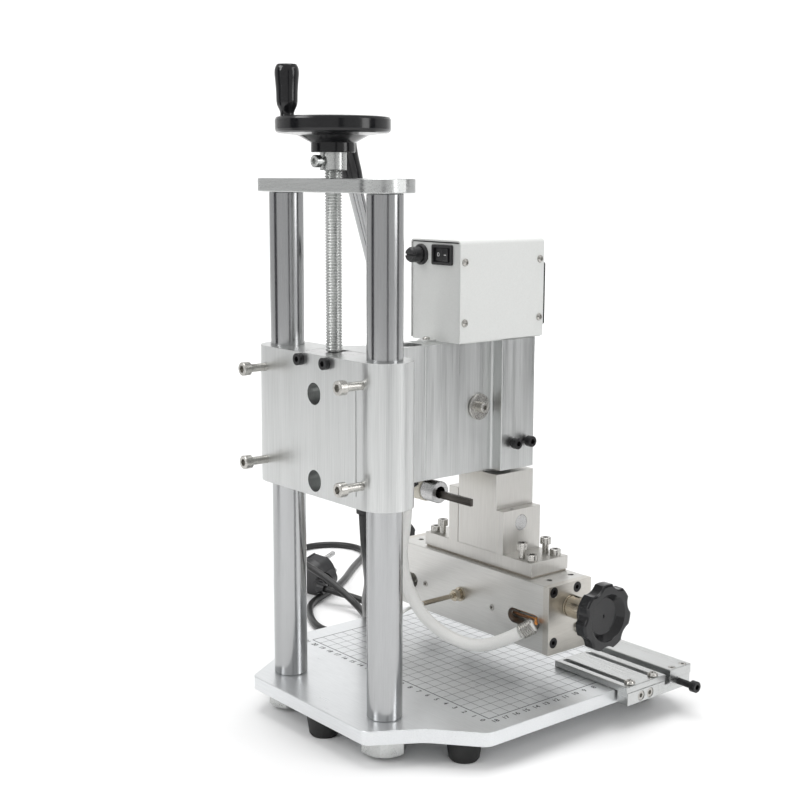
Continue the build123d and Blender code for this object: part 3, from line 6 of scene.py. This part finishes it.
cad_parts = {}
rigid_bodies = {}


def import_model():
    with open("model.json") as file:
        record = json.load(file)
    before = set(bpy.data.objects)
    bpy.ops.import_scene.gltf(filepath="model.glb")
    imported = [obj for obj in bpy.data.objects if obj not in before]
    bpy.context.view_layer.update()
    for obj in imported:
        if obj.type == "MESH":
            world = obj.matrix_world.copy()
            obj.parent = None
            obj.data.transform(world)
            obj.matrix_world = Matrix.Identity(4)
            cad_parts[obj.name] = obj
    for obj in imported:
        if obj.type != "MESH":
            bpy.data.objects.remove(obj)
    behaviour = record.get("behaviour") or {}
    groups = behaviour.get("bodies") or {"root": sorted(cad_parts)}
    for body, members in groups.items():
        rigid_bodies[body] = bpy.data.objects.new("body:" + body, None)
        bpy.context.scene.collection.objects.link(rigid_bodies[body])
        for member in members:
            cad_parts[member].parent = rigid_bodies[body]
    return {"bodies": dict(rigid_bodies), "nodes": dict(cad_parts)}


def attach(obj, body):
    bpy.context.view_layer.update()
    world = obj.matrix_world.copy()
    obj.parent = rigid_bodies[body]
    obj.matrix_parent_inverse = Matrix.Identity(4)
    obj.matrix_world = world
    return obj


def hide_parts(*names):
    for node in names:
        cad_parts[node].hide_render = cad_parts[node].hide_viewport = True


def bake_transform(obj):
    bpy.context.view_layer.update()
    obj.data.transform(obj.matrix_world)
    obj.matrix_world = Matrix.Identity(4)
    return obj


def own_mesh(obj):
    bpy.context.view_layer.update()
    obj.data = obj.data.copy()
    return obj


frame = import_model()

for stray in [o for o in bpy.data.objects if o.name in ("Cube", "Light", "Camera")]:
    bpy.data.objects.remove(stray)
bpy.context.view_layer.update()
nodes = frame["nodes"]
bodies = frame["bodies"]


def W(x, y, z):
    """Drawing millimetres to the row frame in metres."""
    return Vector(((x - 93.0) / 1000.0, (y + 46.0) / 1000.0, (z + 28.0) / 1000.0))


# ------------------------------------------------------------------ camera
cam_data = bpy.data.cameras.new("camera")
cam_data.lens = 61.15
cam_data.sensor_width = 36.0
cam_data.clip_start = 0.02
cam_data.clip_end = 60
cam = bpy.data.objects.new("camera", cam_data)
bpy.context.scene.collection.objects.link(cam)
right = Vector((-0.63503, -0.77248, 0.00299))
down = Vector((-0.12815, 0.10153, -0.98654))
forward = Vector((0.76178, -0.62687, -0.16347))
m = Matrix.Identity(4)
for i in range(3):
    m[i][0], m[i][1], m[i][2] = right[i], -down[i], -forward[i]
m.translation = W(-654.74, 620.13, 374.47)
cam.matrix_world = m
bpy.context.scene.camera = cam


# ------------------------------------------------------------------ shader helpers
def new_mat(name):
    mat = bpy.data.materials.new(name)
    mat.use_nodes = True
    nt = mat.node_tree
    bsdf = nt.nodes["Principled BSDF"]
    return mat, nt, bsdf


def node(nt, kind, **props):
    n = nt.nodes.new(kind)
    for k, v in props.items():
        setattr(n, k, v)
    return n


def noise(nt, vec, scale, detail=4.0, rough=0.55, stretch=(1, 1, 1), dist=0.0):
    mp = node(nt, "ShaderNodeMapping")
    mp.inputs["Scale"].default_value = stretch
    nt.links.new(vec, mp.inputs["Vector"])
    n = node(nt, "ShaderNodeTexNoise")
    n.inputs["Scale"].default_value = scale
    n.inputs["Detail"].default_value = detail
    n.inputs["Roughness"].default_value = rough
    n.inputs["Distortion"].default_value = dist
    nt.links.new(mp.outputs["Vector"], n.inputs["Vector"])
    return n.outputs["Fac"]


def remap(nt, fac, lo, hi, a=0.3, b=0.7):
    r = node(nt, "ShaderNodeMapRange")
    r.inputs["From Min"].default_value = a
    r.inputs["From Max"].default_value = b
    r.inputs["To Min"].default_value = lo
    r.inputs["To Max"].default_value = hi
    nt.links.new(fac, r.inputs["Value"])
    return r.outputs["Result"]


def mix_color(nt, fac, c1, c2):
    mx = node(nt, "ShaderNodeMix", data_type="RGBA")
    mx.inputs[6].default_value = (*c1, 1)
    mx.inputs[7].default_value = (*c2, 1)
    nt.links.new(fac, mx.inputs[0])
    return mx.outputs[2]


def surface(name, dark, light, metal, rough, bump=0.02, scale=60, stretch=(1, 1, 1), fine=900, fine_stretch=(1, 1, 1),
            fine_bump=0.0, coat=0.0, edge=0.25, spec=0.5, wear=0.0, sheen=0.0):
    """Two scales of noise drive colour, roughness and bump; the Bevel node softens the machined edges."""
    mat, nt, bsdf = new_mat(name)
    tc = node(nt, "ShaderNodeTexCoord")
    vec = tc.outputs["Object"]
    broad = noise(nt, vec, scale, stretch=stretch)
    small = noise(nt, vec, fine, detail=2.0, stretch=fine_stretch)
    both = node(nt, "ShaderNodeMath", operation="ADD")
    half = node(nt, "ShaderNodeMath", operation="MULTIPLY")
    half.inputs[1].default_value = 0.5
    nt.links.new(broad, both.inputs[0])
    nt.links.new(small, both.inputs[1])
    nt.links.new(both.outputs[0], half.inputs[0])
    nt.links.new(mix_color(nt, remap(nt, half.outputs[0], 0, 1), dark, light), bsdf.inputs["Base Color"])
    bsdf.inputs["Metallic"].default_value = metal
    nt.links.new(remap(nt, half.outputs[0], rough[0], rough[1]), bsdf.inputs["Roughness"])
    bsdf.inputs["Specular IOR Level"].default_value = spec
    if coat:
        bsdf.inputs["Coat Weight"].default_value = coat
        bsdf.inputs["Coat Roughness"].default_value = 0.06
    if sheen:
        bsdf.inputs["Sheen Weight"].default_value = sheen
    bev = node(nt, "ShaderNodeBevel", samples=4)
    bev.inputs["Radius"].default_value = edge / 1000.0
    b1 = node(nt, "ShaderNodeBump")
    b1.inputs["Strength"].default_value = bump
    b1.inputs["Distance"].default_value = 0.0006
    nt.links.new(broad, b1.inputs["Height"])
    nt.links.new(bev.outputs["Normal"], b1.inputs["Normal"])
    b2 = node(nt, "ShaderNodeBump")
    b2.inputs["Strength"].default_value = fine_bump
    b2.inputs["Distance"].default_value = 0.0002
    nt.links.new(small, b2.inputs["Height"])
    nt.links.new(b1.outputs["Normal"], b2.inputs["Normal"])
    nt.links.new(b2.outputs["Normal"], bsdf.inputs["Normal"])
    return mat


M = {
    "chrome": surface("chrome", (.37, .375, .38), (.46, .465, .47), 1, (.15, .22), .008, 30, (1, 1, .1), 2500, (1, 1, .02), .02),
    "head": surface("head_aluminium", (.50, .51, .505), (.69, .70, .695), 1, (.26, .42), .02, 90, (1, 1, .05), 1500, (1, 1, .015), .10,
                    edge=.35),
    "plate": surface("top_plate_aluminium", (.50, .51, .505), (.64, .65, .645), 1, (.24, .36), .02, 60, (.1, 1, 1), 1500, (.03, 1, 1), .06,
                     edge=.4),
    "base": surface("base_aluminium", (.68, .695, .705), (.80, .815, .825), .85, (.26, .38), .015, 18, (1, 1, 1), 1400, (.05, 1, 1), .025,
                    edge=.5),
    "beam": surface("beam_aluminium", (.60, .595, .575), (.72, .715, .695), 1, (.34, .44), .015, 14, (.4, 1, 1), 1300, (.04, 1, 1), .03,
                    edge=.3),
    "neck": surface("neck_aluminium", (.56, .55, .525), (.66, .65, .625), 1, (.34, .44), .015, 14, (1, 1, .4), 1200, (1, 1, .05), .03,
                    edge=.3),
    "plate_end": surface("end_plate_aluminium", (.55, .53, .49), (.66, .64, .60), 1, (.30, .42), .015, 14, (1, 1, .4), 900, (1, .1, 1),
                         .03, edge=.3),
    "zinc": surface("zinc_plate", (.50, .51, .50), (.66, .67, .66), 1, (.22, .38), .04, 120, fine=900, fine_bump=.05),
    "stainless": surface("stainless_screw", (.40, .39, .365), (.56, .55, .525), 1, (.20, .34), .05, 200, fine=1500, fine_bump=.05),
    "black_steel": surface("black_oxide", (.012, .012, .013), (.035, .035, .037), .5, (.26, .42), .05, 200, fine=1500, fine_bump=.06),
    "bakelite": surface("black_bakelite", (.004, .004, .005), (.010, .010, .011), 0, (.14, .22), .015, 60, fine=500, fine_bump=.01,
                        coat=.12, edge=.4, spec=.4),
    "plastic": surface("black_moulding", (.010, .010, .011), (.028, .028, .030), 0, (.30, .44), .06, 150, fine=2500, fine_bump=.12),
    "rubber": surface("black_rubber", (.010, .010, .010), (.026, .026, .026), 0, (.50, .66), .10, 120, fine=2200, fine_bump=.2, spec=.35),
    "white": surface("white_powder_coat", (.70, .71, .695), (.76, .77, .755), 0, (.34, .46), .05, 700, fine=1800, fine_bump=.10, edge=.3),
    "bronze": surface("bronze", (.36, .31, .24), (.56, .51, .42), 1, (.16, .30), .03, 90, (.2, 1, 1), 1200, (.05, 1, 1), .05),
    "steel": surface("ground_steel", (.42, .42, .42), (.60, .60, .60), 1, (.22, .36), .03, 80, fine=1200, fine_bump=.05),
    "darksteel": surface("dark_bar", (.06, .055, .05), (.13, .12, .11), .9, (.28, .42), .05, 90, (.1, 1, 1), 1200, (.05, 1, 1), .08),
    "cream": surface("cream_roller", (.72, .68, .58), (.82, .78, .68), 0, (.42, .56), .06, 90, fine=1200, fine_bump=.08),
    "fibre": surface("fibre_board", (.36, .32, .27), (.48, .44, .38), 0, (.6, .8), .15, 160, fine=1800, fine_bump=.3),
    "cord": surface("cord_sheath", (.010, .010, .010), (.024, .024, .024), 0, (.26, .40), .04, 90, fine=1200, fine_bump=.08, spec=.45),
    "orange": surface("orange_wire", (.55, .20, .03), (.75, .32, .06), 0, (.4, .5), .05, 200),
    "brown": surface("brown_wire", (.16, .07, .03), (.26, .12, .05), 0, (.4, .5), .05, 200),
    "window": surface("display_window", (.01, .01, .012), (.02, .02, .022), 0, (.06, .10), .01, 60, coat=.6),
    "ink": surface("black_ink", (.012, .014, .018), (.030, .032, .038), 0, (.4, .55), .02, 300),
    "ink_soft": surface("grid_ink", (.055, .06, .07), (.10, .105, .115), 0, (.35, .5), .02, 150),
    "paint_mark": surface("white_mark", (.70, .70, .70), (.82, .82, .82), 0, (.4, .5), .02, 300),
}


def weave(name):
    """Fine diagonal braid from two crossed waves along the mesh's own map."""
    mat, nt, bsdf = new_mat(name)
    uv = node(nt, "ShaderNodeUVMap", uv_map="tube")
    outs = []
    for k in (1, -1):
        mp = node(nt, "ShaderNodeMapping")
        mp.inputs["Rotation"].default_value = (0, 0, k * math.radians(45))
        nt.links.new(uv.outputs["UV"], mp.inputs["Vector"])
        wv = node(nt, "ShaderNodeTexWave", wave_type="BANDS", bands_direction="X")
        wv.inputs["Scale"].default_value = 4.2
        wv.inputs["Distortion"].default_value = 0.8
        wv.inputs["Detail"].default_value = 2
        nt.links.new(mp.outputs["Vector"], wv.inputs["Vector"])
        outs.append(wv.outputs["Fac"])
    mx = node(nt, "ShaderNodeMath", operation="MAXIMUM")
    nt.links.new(outs[0], mx.inputs[0])
    nt.links.new(outs[1], mx.inputs[1])
    nt.links.new(mix_color(nt, mx.outputs[0], (.74, .74, .71), (.94, .94, .92)), bsdf.inputs["Base Color"])
    bsdf.inputs["Roughness"].default_value = 0.55
    bsdf.inputs["Subsurface Weight"].default_value = 0.15
    bsdf.inputs["Subsurface Radius"].default_value = (.003, .003, .003)
    b = node(nt, "ShaderNodeBump")
    b.inputs["Strength"].default_value = 0.5
    b.inputs["Distance"].default_value = 0.0004
    nt.links.new(mx.outputs[0], b.inputs["Height"])
    nt.links.new(b.outputs["Normal"], bsdf.inputs["Normal"])
    return mat


M["braid"] = weave("glass_braid")

LOOK = {
    "base_plate": "base", "rubber_feet": "rubber", "base_screws": "stainless", "columns": "chrome", "column_fasteners": "zinc",
    "top_plate": "plate", "side_bar": "plate", "guide_block": "plate", "guide_plate": "plate", "bar_thumb_screw": "black_steel",
    "handwheel": "bakelite", "screw_collar": "zinc", "lead_screw": "zinc", "crank_pin": "steel", "crank_grip": "bakelite",
    "head_block": "head", "head_lock_screws": "stainless", "screw_retainer": "steel", "head_socket_screws": "black_steel",
    "control_box_cover": "white", "control_box_chassis": "white", "box_fasteners": "stainless", "switch_body": "plastic",
    "switch_rocker": "plastic", "fuse_holder": "plastic", "fuse_cap": "plastic", "temperature_controller": "plastic",
    "pinion_shaft": "steel", "shaft_end_fastener": "stainless", "lever_bearing": "plate", "lever_hub": "plate", "lever_rod": "chrome",
    "lever_grip": "bakelite", "ram": "steel", "return_spring": "steel", "neck_block": "neck", "bracket": "neck", "pivot_pin": "steel",
    "insulation_plate": "fibre", "bracket_screws": "stainless", "heated_beam": "beam", "end_plates": "plate_end",
    "beam_screws": "black_steel", "heaters": "stainless", "thermocouple": "bronze", "hose_strain_spring": "stainless",
    "clamp_screw_left": "bronze", "clamp_screw_right": "bronze", "knob_left": "bakelite", "knob_right": "bakelite",
    "jaw_left": "beam", "jaw_right": "beam", "foil_bracket": "darksteel", "foil_axle": "steel", "foil_roller": "cream",
    "cable_glands": "plastic", "mains_plug": "plastic", "power_cord": "cord", "heater_hose": "braid", "thermocouple_lead": "braid",
}
for name, obj in nodes.items():
    obj.data.materials.clear()
    obj.data.materials.append(M[LOOK[name]])
    for p in obj.data.polygons:
        p.material_index = 0


def by_face(name, material, test):
    """Give the faces whose centre passes the test a second material."""
    obj = nodes[name]
    obj.data.materials.append(M[material])
    k = len(obj.data.materials) - 1
    for p in obj.data.polygons:
        c = p.center
        if test(c.x * 1000 + 93, c.y * 1000 - 46, c.z * 1000 - 28, p.normal):
            p.material_index = k


by_face("heaters", "orange", lambda x, y, z, n: x < 61.9 and z > 45.4)
by_face("heaters", "brown", lambda x, y, z, n: x < 61.9 and z <= 45.4)
by_face("beam_screws", "stainless", lambda x, y, z, n: (x < 19.0 or (abs(y + 109) < 3 and abs(z - 38.4) < 5)) or y > -82 and 60 < x < 170)
by_face("temperature_controller", "window", lambda x, y, z, n: abs(y + 131.2) < .15 and z > 279)
by_face("column_fasteners", "black_steel", lambda x, y, z, n: z > 335)
by_face("head_lock_screws", "stainless", lambda x, y, z, n: True)


# ------------------------------------------------------------------ mesh helpers
def add_mesh(name, verts, faces, material, body, smooth=True, uvs=None):
    me = bpy.data.meshes.new(name)
    me.from_pydata([tuple(v) for v in verts], [], faces)
    if uvs is not None:
        layer = me.uv_layers.new(name="tube")
        for poly in me.polygons:
            for li, vi in zip(poly.loop_indices, poly.vertices):
                layer.data[li].uv = uvs[vi]
    me.materials.append(M[material])
    for p in me.polygons:
        p.use_smooth = smooth
    me.update()
    ob = bpy.data.objects.new(name, me)
    bpy.context.scene.collection.objects.link(ob)
    if body:
        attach(ob, body)
    return ob


def tube(path, radius_at, seg=20, capped=True):
    """Rings carried along a path without twist."""
    pts = [Vector(p) for p in path]
    t0 = (pts[1] - pts[0]).normalized()
    ref = Vector((0, 0, 1)) if abs(t0.z) < 0.9 else Vector((1, 0, 0))
    u = t0.cross(ref).normalized()
    verts, uvs = [], []
    s = 0.0
    prev = t0
    for i, p in enumerate(pts):
        t = (pts[min(i + 1, len(pts) - 1)] - pts[max(i - 1, 0)]).normalized()
        ax = prev.cross(t)
        if ax.length > 1e-9:
            u = Matrix.Rotation(prev.angle(t), 3, ax.normalized()) @ u
        prev = t
        u = (u - t * u.dot(t)).normalized()
        v = t.cross(u)
        if i:
            s += (p - pts[i - 1]).length
        r = radius_at(s)
        for k in range(seg):
            a = 2 * math.pi * k / seg
            verts.append(p + (u * math.cos(a) + v * math.sin(a)) * r)
            uvs.append((k / seg * 6.0, s * 1000 / 4.7))
    faces = []
    for i in range(len(pts) - 1):
        for k in range(seg):
            a, b = i * seg + k, i * seg + (k + 1) % seg
            faces.append((a, b, b + seg, a + seg))
    if capped:
        faces.append(tuple(range(seg - 1, -1, -1)))
        faces.append(tuple((len(pts) - 1) * seg + k for k in range(seg)))
    return verts, faces, uvs, s


def nurbs_path(points, res=16):
    """Sample the quadratic NURBS through the route's runs."""
    cu = bpy.data.curves.new("route", "CURVE")
    cu.dimensions = "3D"
    sp = cu.splines.new("NURBS")
    sp.points.add(len(points) - 1)
    for i, p in enumerate(points):
        sp.points[i].co = (*W(*p), 1)
    sp.order_u = 3
    sp.use_endpoint_u = True
    sp.resolution_u = res
    ob = bpy.data.objects.new("route", cu)
    bpy.context.scene.collection.objects.link(ob)
    bpy.context.view_layer.update()
    me = bpy.data.meshes.new_from_object(ob.evaluated_get(bpy.context.evaluated_depsgraph_get()))
    path = [v.co.copy() for v in me.vertices]
    bpy.data.objects.remove(ob)
    bpy.data.meshes.remove(me)
    out = [path[0]]
    for p in path[1:]:
        if (p - out[-1]).length > 0.0006:
            out.append(p)
    return out


# ------------------------------------------------------------------ cords
HOSE = [(36.13, -64.22, 39.05), (46.7, -54.0, 30.5), (71.0, -44.5, 22.5), (100.0, -29.5, 36.0), (114.5, -20.5, 62.0),
        (117.0, -15.5, 91.0), (107.0, -13.0, 117.7), (107.0, -13.0, 145.9)]
LEAD = [(116.0, -37.9, 46.8), (116.0, -24.0, 46.8), (108.0, -6.0, 45.0), (97.0, 5.5, 58.0), (93.0, 6.5, 84.0),
        (96.0, 2.0, 117.6), (97.5, 2.0, 150.8)]
CORD = [(107.0, 28.0, 132.0), (109.0, 25.0, 107.0), (126.0, 9.5, 83.0), (166.0, -23.5, 53.0), (212.0, -56.0, 24.0),
        (246.0, -83.0, -2.0), (275.0, -107.0, -21.5), (306.0, -122.5, -22.0), (337.0, -116.0, -5.0),
        (371.0, -106.5, 8.5), (408.0, -110.0, 9.0), (446.0, -130.0, -10.0), (482.0, -160.0, -24.7),
        (508.2, -188.9, -24.7), (515.9, -215.1, -24.7), (505.5, -240.4, -24.7), (481.4, -253.5, -24.7),
        (454.2, -247.5, -24.7), (424.0, -206.0, -24.7), (385.0, -162.0, -24.7), (367.0, -130.0, -24.7),
        (352.0, -99.0, -24.7), (324.0, -78.0, -24.7), (289.0, -62.0, -24.7), (262.0, -69.2, -24.7),
        (245.9, -92.1, -24.7), (248.3, -120.0, -24.7), (268.1, -139.8, -24.7), (297.0, -142.0, -24.0),
        (325.0, -129.5, -18.0), (351.7, -116.4, -14.0)]


def make_cord(name, route, dia, cad, material, neck=0.0):
    path = nurbs_path(route)
    total = sum((q - p).length for p, q in zip(path, path[1:]))

    def radius(s):
        edge_near = min(s, total - s)
        pinch = neck * max(0.0, 1 - edge_near / 0.012)
        return dia / 2000.0 * (1 - pinch)

    verts, faces, uvs, length = tube(path, radius, 24)
    ob = add_mesh(name, verts, faces, material, None, uvs=uvs)
    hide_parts(cad)
    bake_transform(ob)
    return ob


make_cord("hose_braided", HOSE, 9.5, "heater_hose", "braid", 0.0)
make_cord("sensor_lead", LEAD, 2.4, "thermocouple_lead", "braid")
make_cord("mains_cord", CORD, 6.5, "power_cord", "cord")
by_face("mains_plug", "steel", lambda x, y, z, n: False)

# pins of the plug are the faces beyond its front
plug_c = W(384.0, -128.0, -9.4)
plug_z = Vector((0.20, -0.95, 0.22)).normalized()
for p in nodes["mains_plug"].data.polygons:
    if (p.center - plug_c).dot(plug_z) > 0.0112:
        p.material_index = len(nodes["mains_plug"].data.materials) - 1


# ------------------------------------------------------------------ spring of the hose
def coil(name, origin, direction, length, radius, wire, turns, material, body, cad):
    o, d = W(*origin), Vector(direction).normalized()
    u = d.orthogonal().normalized()
    v = d.cross(u)
    n = int(turns * 28)
    wire_m = wire / 1000.0
    path = []
    for i in range(n + 1):
        t = i / n
        a = 2 * math.pi * turns * t
        path.append(o + d * (wire_m / 2 + (length / 1000.0 - wire_m) * t) + (u * math.cos(a) + v * math.sin(a)) * (radius - wire / 2) / 1000.0)
    verts, faces, uvs, _ = tube(path, lambda s: wire_m / 2, 10)
    ob = add_mesh(name, verts, faces, material, body)
    if cad:
        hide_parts(cad)
    return ob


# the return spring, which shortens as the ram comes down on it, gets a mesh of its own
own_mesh(nodes["return_spring"])

coil("hose_spring_coil", (28.5, -71.6, 45.2), (0.6217, 0.6017, -0.5014), 12.0, 6.0, 1.5, 6.5, "stainless", "ram_head", "hose_strain_spring")
sleeve_path = [W(28.5, -71.6, 45.2) + Vector((0.6217, 0.6017, -0.5014)).normalized() * (0.0119 * k / 6) for k in range(7)]
sv, sf, su, _ = tube(sleeve_path, lambda s: 0.0043, 20)
add_mesh("hose_end_sleeve", sv, sf, "braid", "ram_head", uvs=su)


# ------------------------------------------------------------------ threaded lead screw
def threaded(name, cad, body, x, y, profile, z0, z1, r_out, r_in, pitch, material, seg=40):
    """Turned bar whose radius follows a thread between z0 and z1; profile gives the plain radius elsewhere."""
    zs = []
    z = profile[0][0]
    stops = sorted({p[0] for p in profile} | {z0, z1})
    for a, b in zip(stops, stops[1:]):
        steps = max(1, int((b - a) / 0.25)) if a >= z0 and b <= z1 else 1
        zs += [a + (b - a) * k / steps for k in range(steps)]
    zs.append(stops[-1])
    rings = []
    for z in zs:
        plain = None
        for (za, ra), (zb, rb) in zip(profile, profile[1:]):
            if za <= z <= zb and zb > za:
                plain = ra + (rb - ra) * (z - za) / (zb - za)
        rings.append((z, plain))
    # steps of the profile are drawn with doubled rings
    full = []
    for (za, ra) in profile:
        pass
    verts, faces = [], []
    count = 0
    all_rings = []
    for z in zs:
        here = [r for (zz, r) in profile if abs(zz - z) < 1e-6]
        if len(here) >= 2:
            all_rings += [(z, here[0]), (z, here[1])]
        elif len(here) == 1:
            all_rings.append((z, here[0]))
        else:
            all_rings.append((z, [p for zz, p in rings if zz == z][0]))
    for z, plain in all_rings:
        for k in range(seg):
            a = 2 * math.pi * k / seg
            r = plain
            if z0 <= z <= z1:
                ph = ((z - z0) / pitch - k / seg) % 1.0
                tri = abs(ph * 2 - 1)
                wave = min(1.0, max(0.0, (tri - 0.12) / 0.62))
                r = r_in + (r_out - r_in) * wave
            p = W(x, y, z)
            verts.append(p + Vector((math.cos(a), math.sin(a), 0)) * (r / 1000.0))
    n = len(all_rings)
    for i in range(n - 1):
        for k in range(seg):
            a, b = i * seg + k, i * seg + (k + 1) % seg
            faces.append((a, b, b + seg, a + seg))
    faces.append(tuple(range(seg - 1, -1, -1)))
    faces.append(tuple((n - 1) * seg + k for k in range(seg)))
    ob = add_mesh(name, verts, faces, material, body)
    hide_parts(cad)
    return ob


threaded("lead_screw_thread", "lead_screw", "wheel", 107.0, 53.4,
         [(232.4, 5.2), (233.0, 5.8), (242.3, 5.8), (242.3, 4.0), (252.1, 4.0), (252.1, 5.2), (253.0, 6.0), (404.6, 6.0), (405.2, 5.4)],
         253.0, 378.0, 5.98, 5.0, 2.0, "zinc")

# ------------------------------------------------------------------ ruler print on the table
GRID_Z = 0.045
verts, faces = [], []


def quad(x0, y0, x1, y1):
    k = len(verts)
    for x, y in ((x0, y0), (x1, y0), (x1, y1), (x0, y1)):
        verts.append(W(x, y, GRID_Z))
    faces.append((k, k + 1, k + 2, k + 3))


for i in range(22):
    wdt = 0.42 if i in (0, 21) else 0.2
    quad(10 * i - wdt, -180, 10 * i + wdt, 0)
for j in range(19):
    wdt = 0.42 if j in (0, 18) else 0.2
    quad(0, -10 * j - wdt, 210, -10 * j + wdt)
add_mesh("ruler_grid", verts, faces, "ink_soft", "base", smooth=False)


def letters(text, size, place, x_dir, y_dir, material, body, name, depth=0.0):
    cu = bpy.data.curves.new(name + "_text", "FONT")
    cu.body = text
    cu.size = size / 1000.0
    cu.offset = size * 0.000022
    cu.align_x = "CENTER"
    cu.align_y = "CENTER"
    cu.resolution_u = 3
    ob = bpy.data.objects.new(name + "_text", cu)
    bpy.context.scene.collection.objects.link(ob)
    bpy.context.view_layer.update()
    me = bpy.data.meshes.new_from_object(ob.evaluated_get(bpy.context.evaluated_depsgraph_get()))
    bpy.data.objects.remove(ob)
    xd, yd = Vector(x_dir).normalized(), Vector(y_dir).normalized()
    vs = [place + xd * v.co.x + yd * v.co.y for v in me.vertices]
    fs = [tuple(p.vertices) for p in me.polygons]
    bpy.data.meshes.remove(me)
    return vs, fs


verts, faces = [], []
for i in range(22):
    v, f = letters(str(i), 5.8, W(10 * i + (0 if i else 1.0), 5.2, GRID_Z), (-1, 0, 0), (0, -1, 0), "ink", "base", "n")
    k = len(verts)
    verts += v
    faces += [tuple(a + k for a in q) for q in f]
for j in range(19):
    n = 18 - j
    v, f = letters(str(n), 5.8, W(-5.6, -10 * j - 1.0, GRID_Z), (0, -1, 0), (1, 0, 0), "ink", "base", "n")
    k = len(verts)
    verts += v
    faces += [tuple(a + k for a in q) for q in f]
add_mesh("ruler_figures", verts, faces, "ink", "base", smooth=False)

# O and - on the rocker's outer face
a8 = math.radians(-8)
face_x = Vector((-math.cos(a8), -math.sin(a8), 0))
for nm, txt, off in (("mark_open", "O", 4.3), ("mark_line", "I", -4.3)):
    u = off
    c = W(102.5 + u * math.cos(a8) - 3.05 * math.sin(a8), -45.6 + u * math.sin(a8) + 3.05 * math.cos(a8), 316.3)
    v, f = letters(txt, 4.2, c, (0, 0, 1) if txt == "I" else face_x, face_x if txt == "I" else (0, 0, 1), "paint_mark", "rocker", nm)
    add_mesh(nm, v, f, "paint_mark", "rocker", smooth=False)

# ------------------------------------------------------------------ floor, light
floor_m, nt, bsdf = new_mat("studio_floor")
tc = node(nt, "ShaderNodeTexCoord")
nf = noise(nt, tc.outputs["Object"], 3.0)
nt.links.new(mix_color(nt, nf, (.90, .90, .90), (.93, .93, .93)), bsdf.inputs["Base Color"])
bsdf.inputs["Roughness"].default_value = 0.6
bsdf.inputs["Specular IOR Level"].default_value = 0.2
M["floor"] = floor_m
fwd = Vector((forward.x, forward.y, 0)).normalized()
lat = Vector((-fwd.y, fwd.x, 0))
fv, ff = [], []
steps = 24
for i in range(steps + 1):
    if i <= 2:
        d, h = -2.6 + i * 3.0, 0.0
    else:
        a = math.pi / 2 * min(1, (i - 2) / 16)
        d, h = 3.4 + 1.2 * math.sin(a), 1.2 * (1 - math.cos(a))
        if i > 18:
            h = 1.2 + (i - 18) * 0.4
    for s in (-4.5, 4.5):
        p = fwd * d + lat * s
        fv.append((p.x, p.y, h - 0.00005))
for i in range(steps):
    ff.append((2 * i, 2 * i + 1, 2 * i + 3, 2 * i + 2))
fl = add_mesh("studio_sweep", fv, ff, "floor", None)

world = bpy.data.worlds.new("studio")
bpy.context.scene.world = world
world.use_nodes = True
bg = world.node_tree.nodes["Background"]
bg.inputs["Color"].default_value = (1.0, 1.0, 1.0, 1)
bg.inputs["Strength"].default_value = 0.66


def area(name, loc, target, w, h, power):
    ld = bpy.data.lights.new(name, "AREA")
    ld.shape = "RECTANGLE"
    ld.size, ld.size_y = w, h
    ld.energy = power
    ob = bpy.data.objects.new(name, ld)
    bpy.context.scene.collection.objects.link(ob)
    ob.location = loc
    ob.rotation_euler = (Vector(target) - Vector(loc)).to_track_quat("-Z", "Y").to_euler()
    return ob


centre = Vector((0, 0, 0.2))
side_l = -lat
area("key", centre + fwd * -0.6 + lat * 1.5 + Vector((0, 0, 1.1)), centre, 1.1, 1.1, 20)
area("fill", centre + fwd * -0.5 - lat * 1.6 + Vector((0, 0, 0.7)), centre, 0.9, 1.3, 12)
area("top", centre + fwd * 0.2 + Vector((0, 0, 2.0)), centre, 1.6, 1.6, 26)
area("back", centre + fwd * 1.9 + Vector((0, 0, 1.3)), centre + fwd * 3.4 + Vector((0, 0, 0.3)), 3.0, 1.4, 45)

# dark cards out of view give the bright metal its edges
card_m, nt, bsdf = new_mat("dark_card")
tc = node(nt, "ShaderNodeTexCoord")
nf = noise(nt, tc.outputs["Object"], 5.0)
nt.links.new(mix_color(nt, nf, (.03, .03, .035), (.06, .06, .065)), bsdf.inputs["Base Color"])
bsdf.inputs["Roughness"].default_value = 0.9
M["card"] = card_m


def card(name, c, w, h):
    c = Vector(c)
    n = (centre - c)
    n.z = 0
    n.normalize()
    u = Vector((-n.y, n.x, 0))
    pts = [c - u * w / 2 - Vector((0, 0, h / 2)), c + u * w / 2 - Vector((0, 0, h / 2)),
           c + u * w / 2 + Vector((0, 0, h / 2)), c - u * w / 2 + Vector((0, 0, h / 2))]
    ob = add_mesh(name, pts, [(0, 1, 2, 3)], "card", None, smooth=False)


card("card_left", centre + fwd * -0.25 + lat * 1.0, 0.35, 1.6)
card("card_right", centre + fwd * -0.15 - lat * 1.0, 0.30, 1.6)
card("card_camera", centre + fwd * -1.35 - lat * 0.35, 0.22, 1.6)

bpy.context.scene.view_settings.view_transform = "Standard"
bpy.context.scene.view_settings.look = "None"
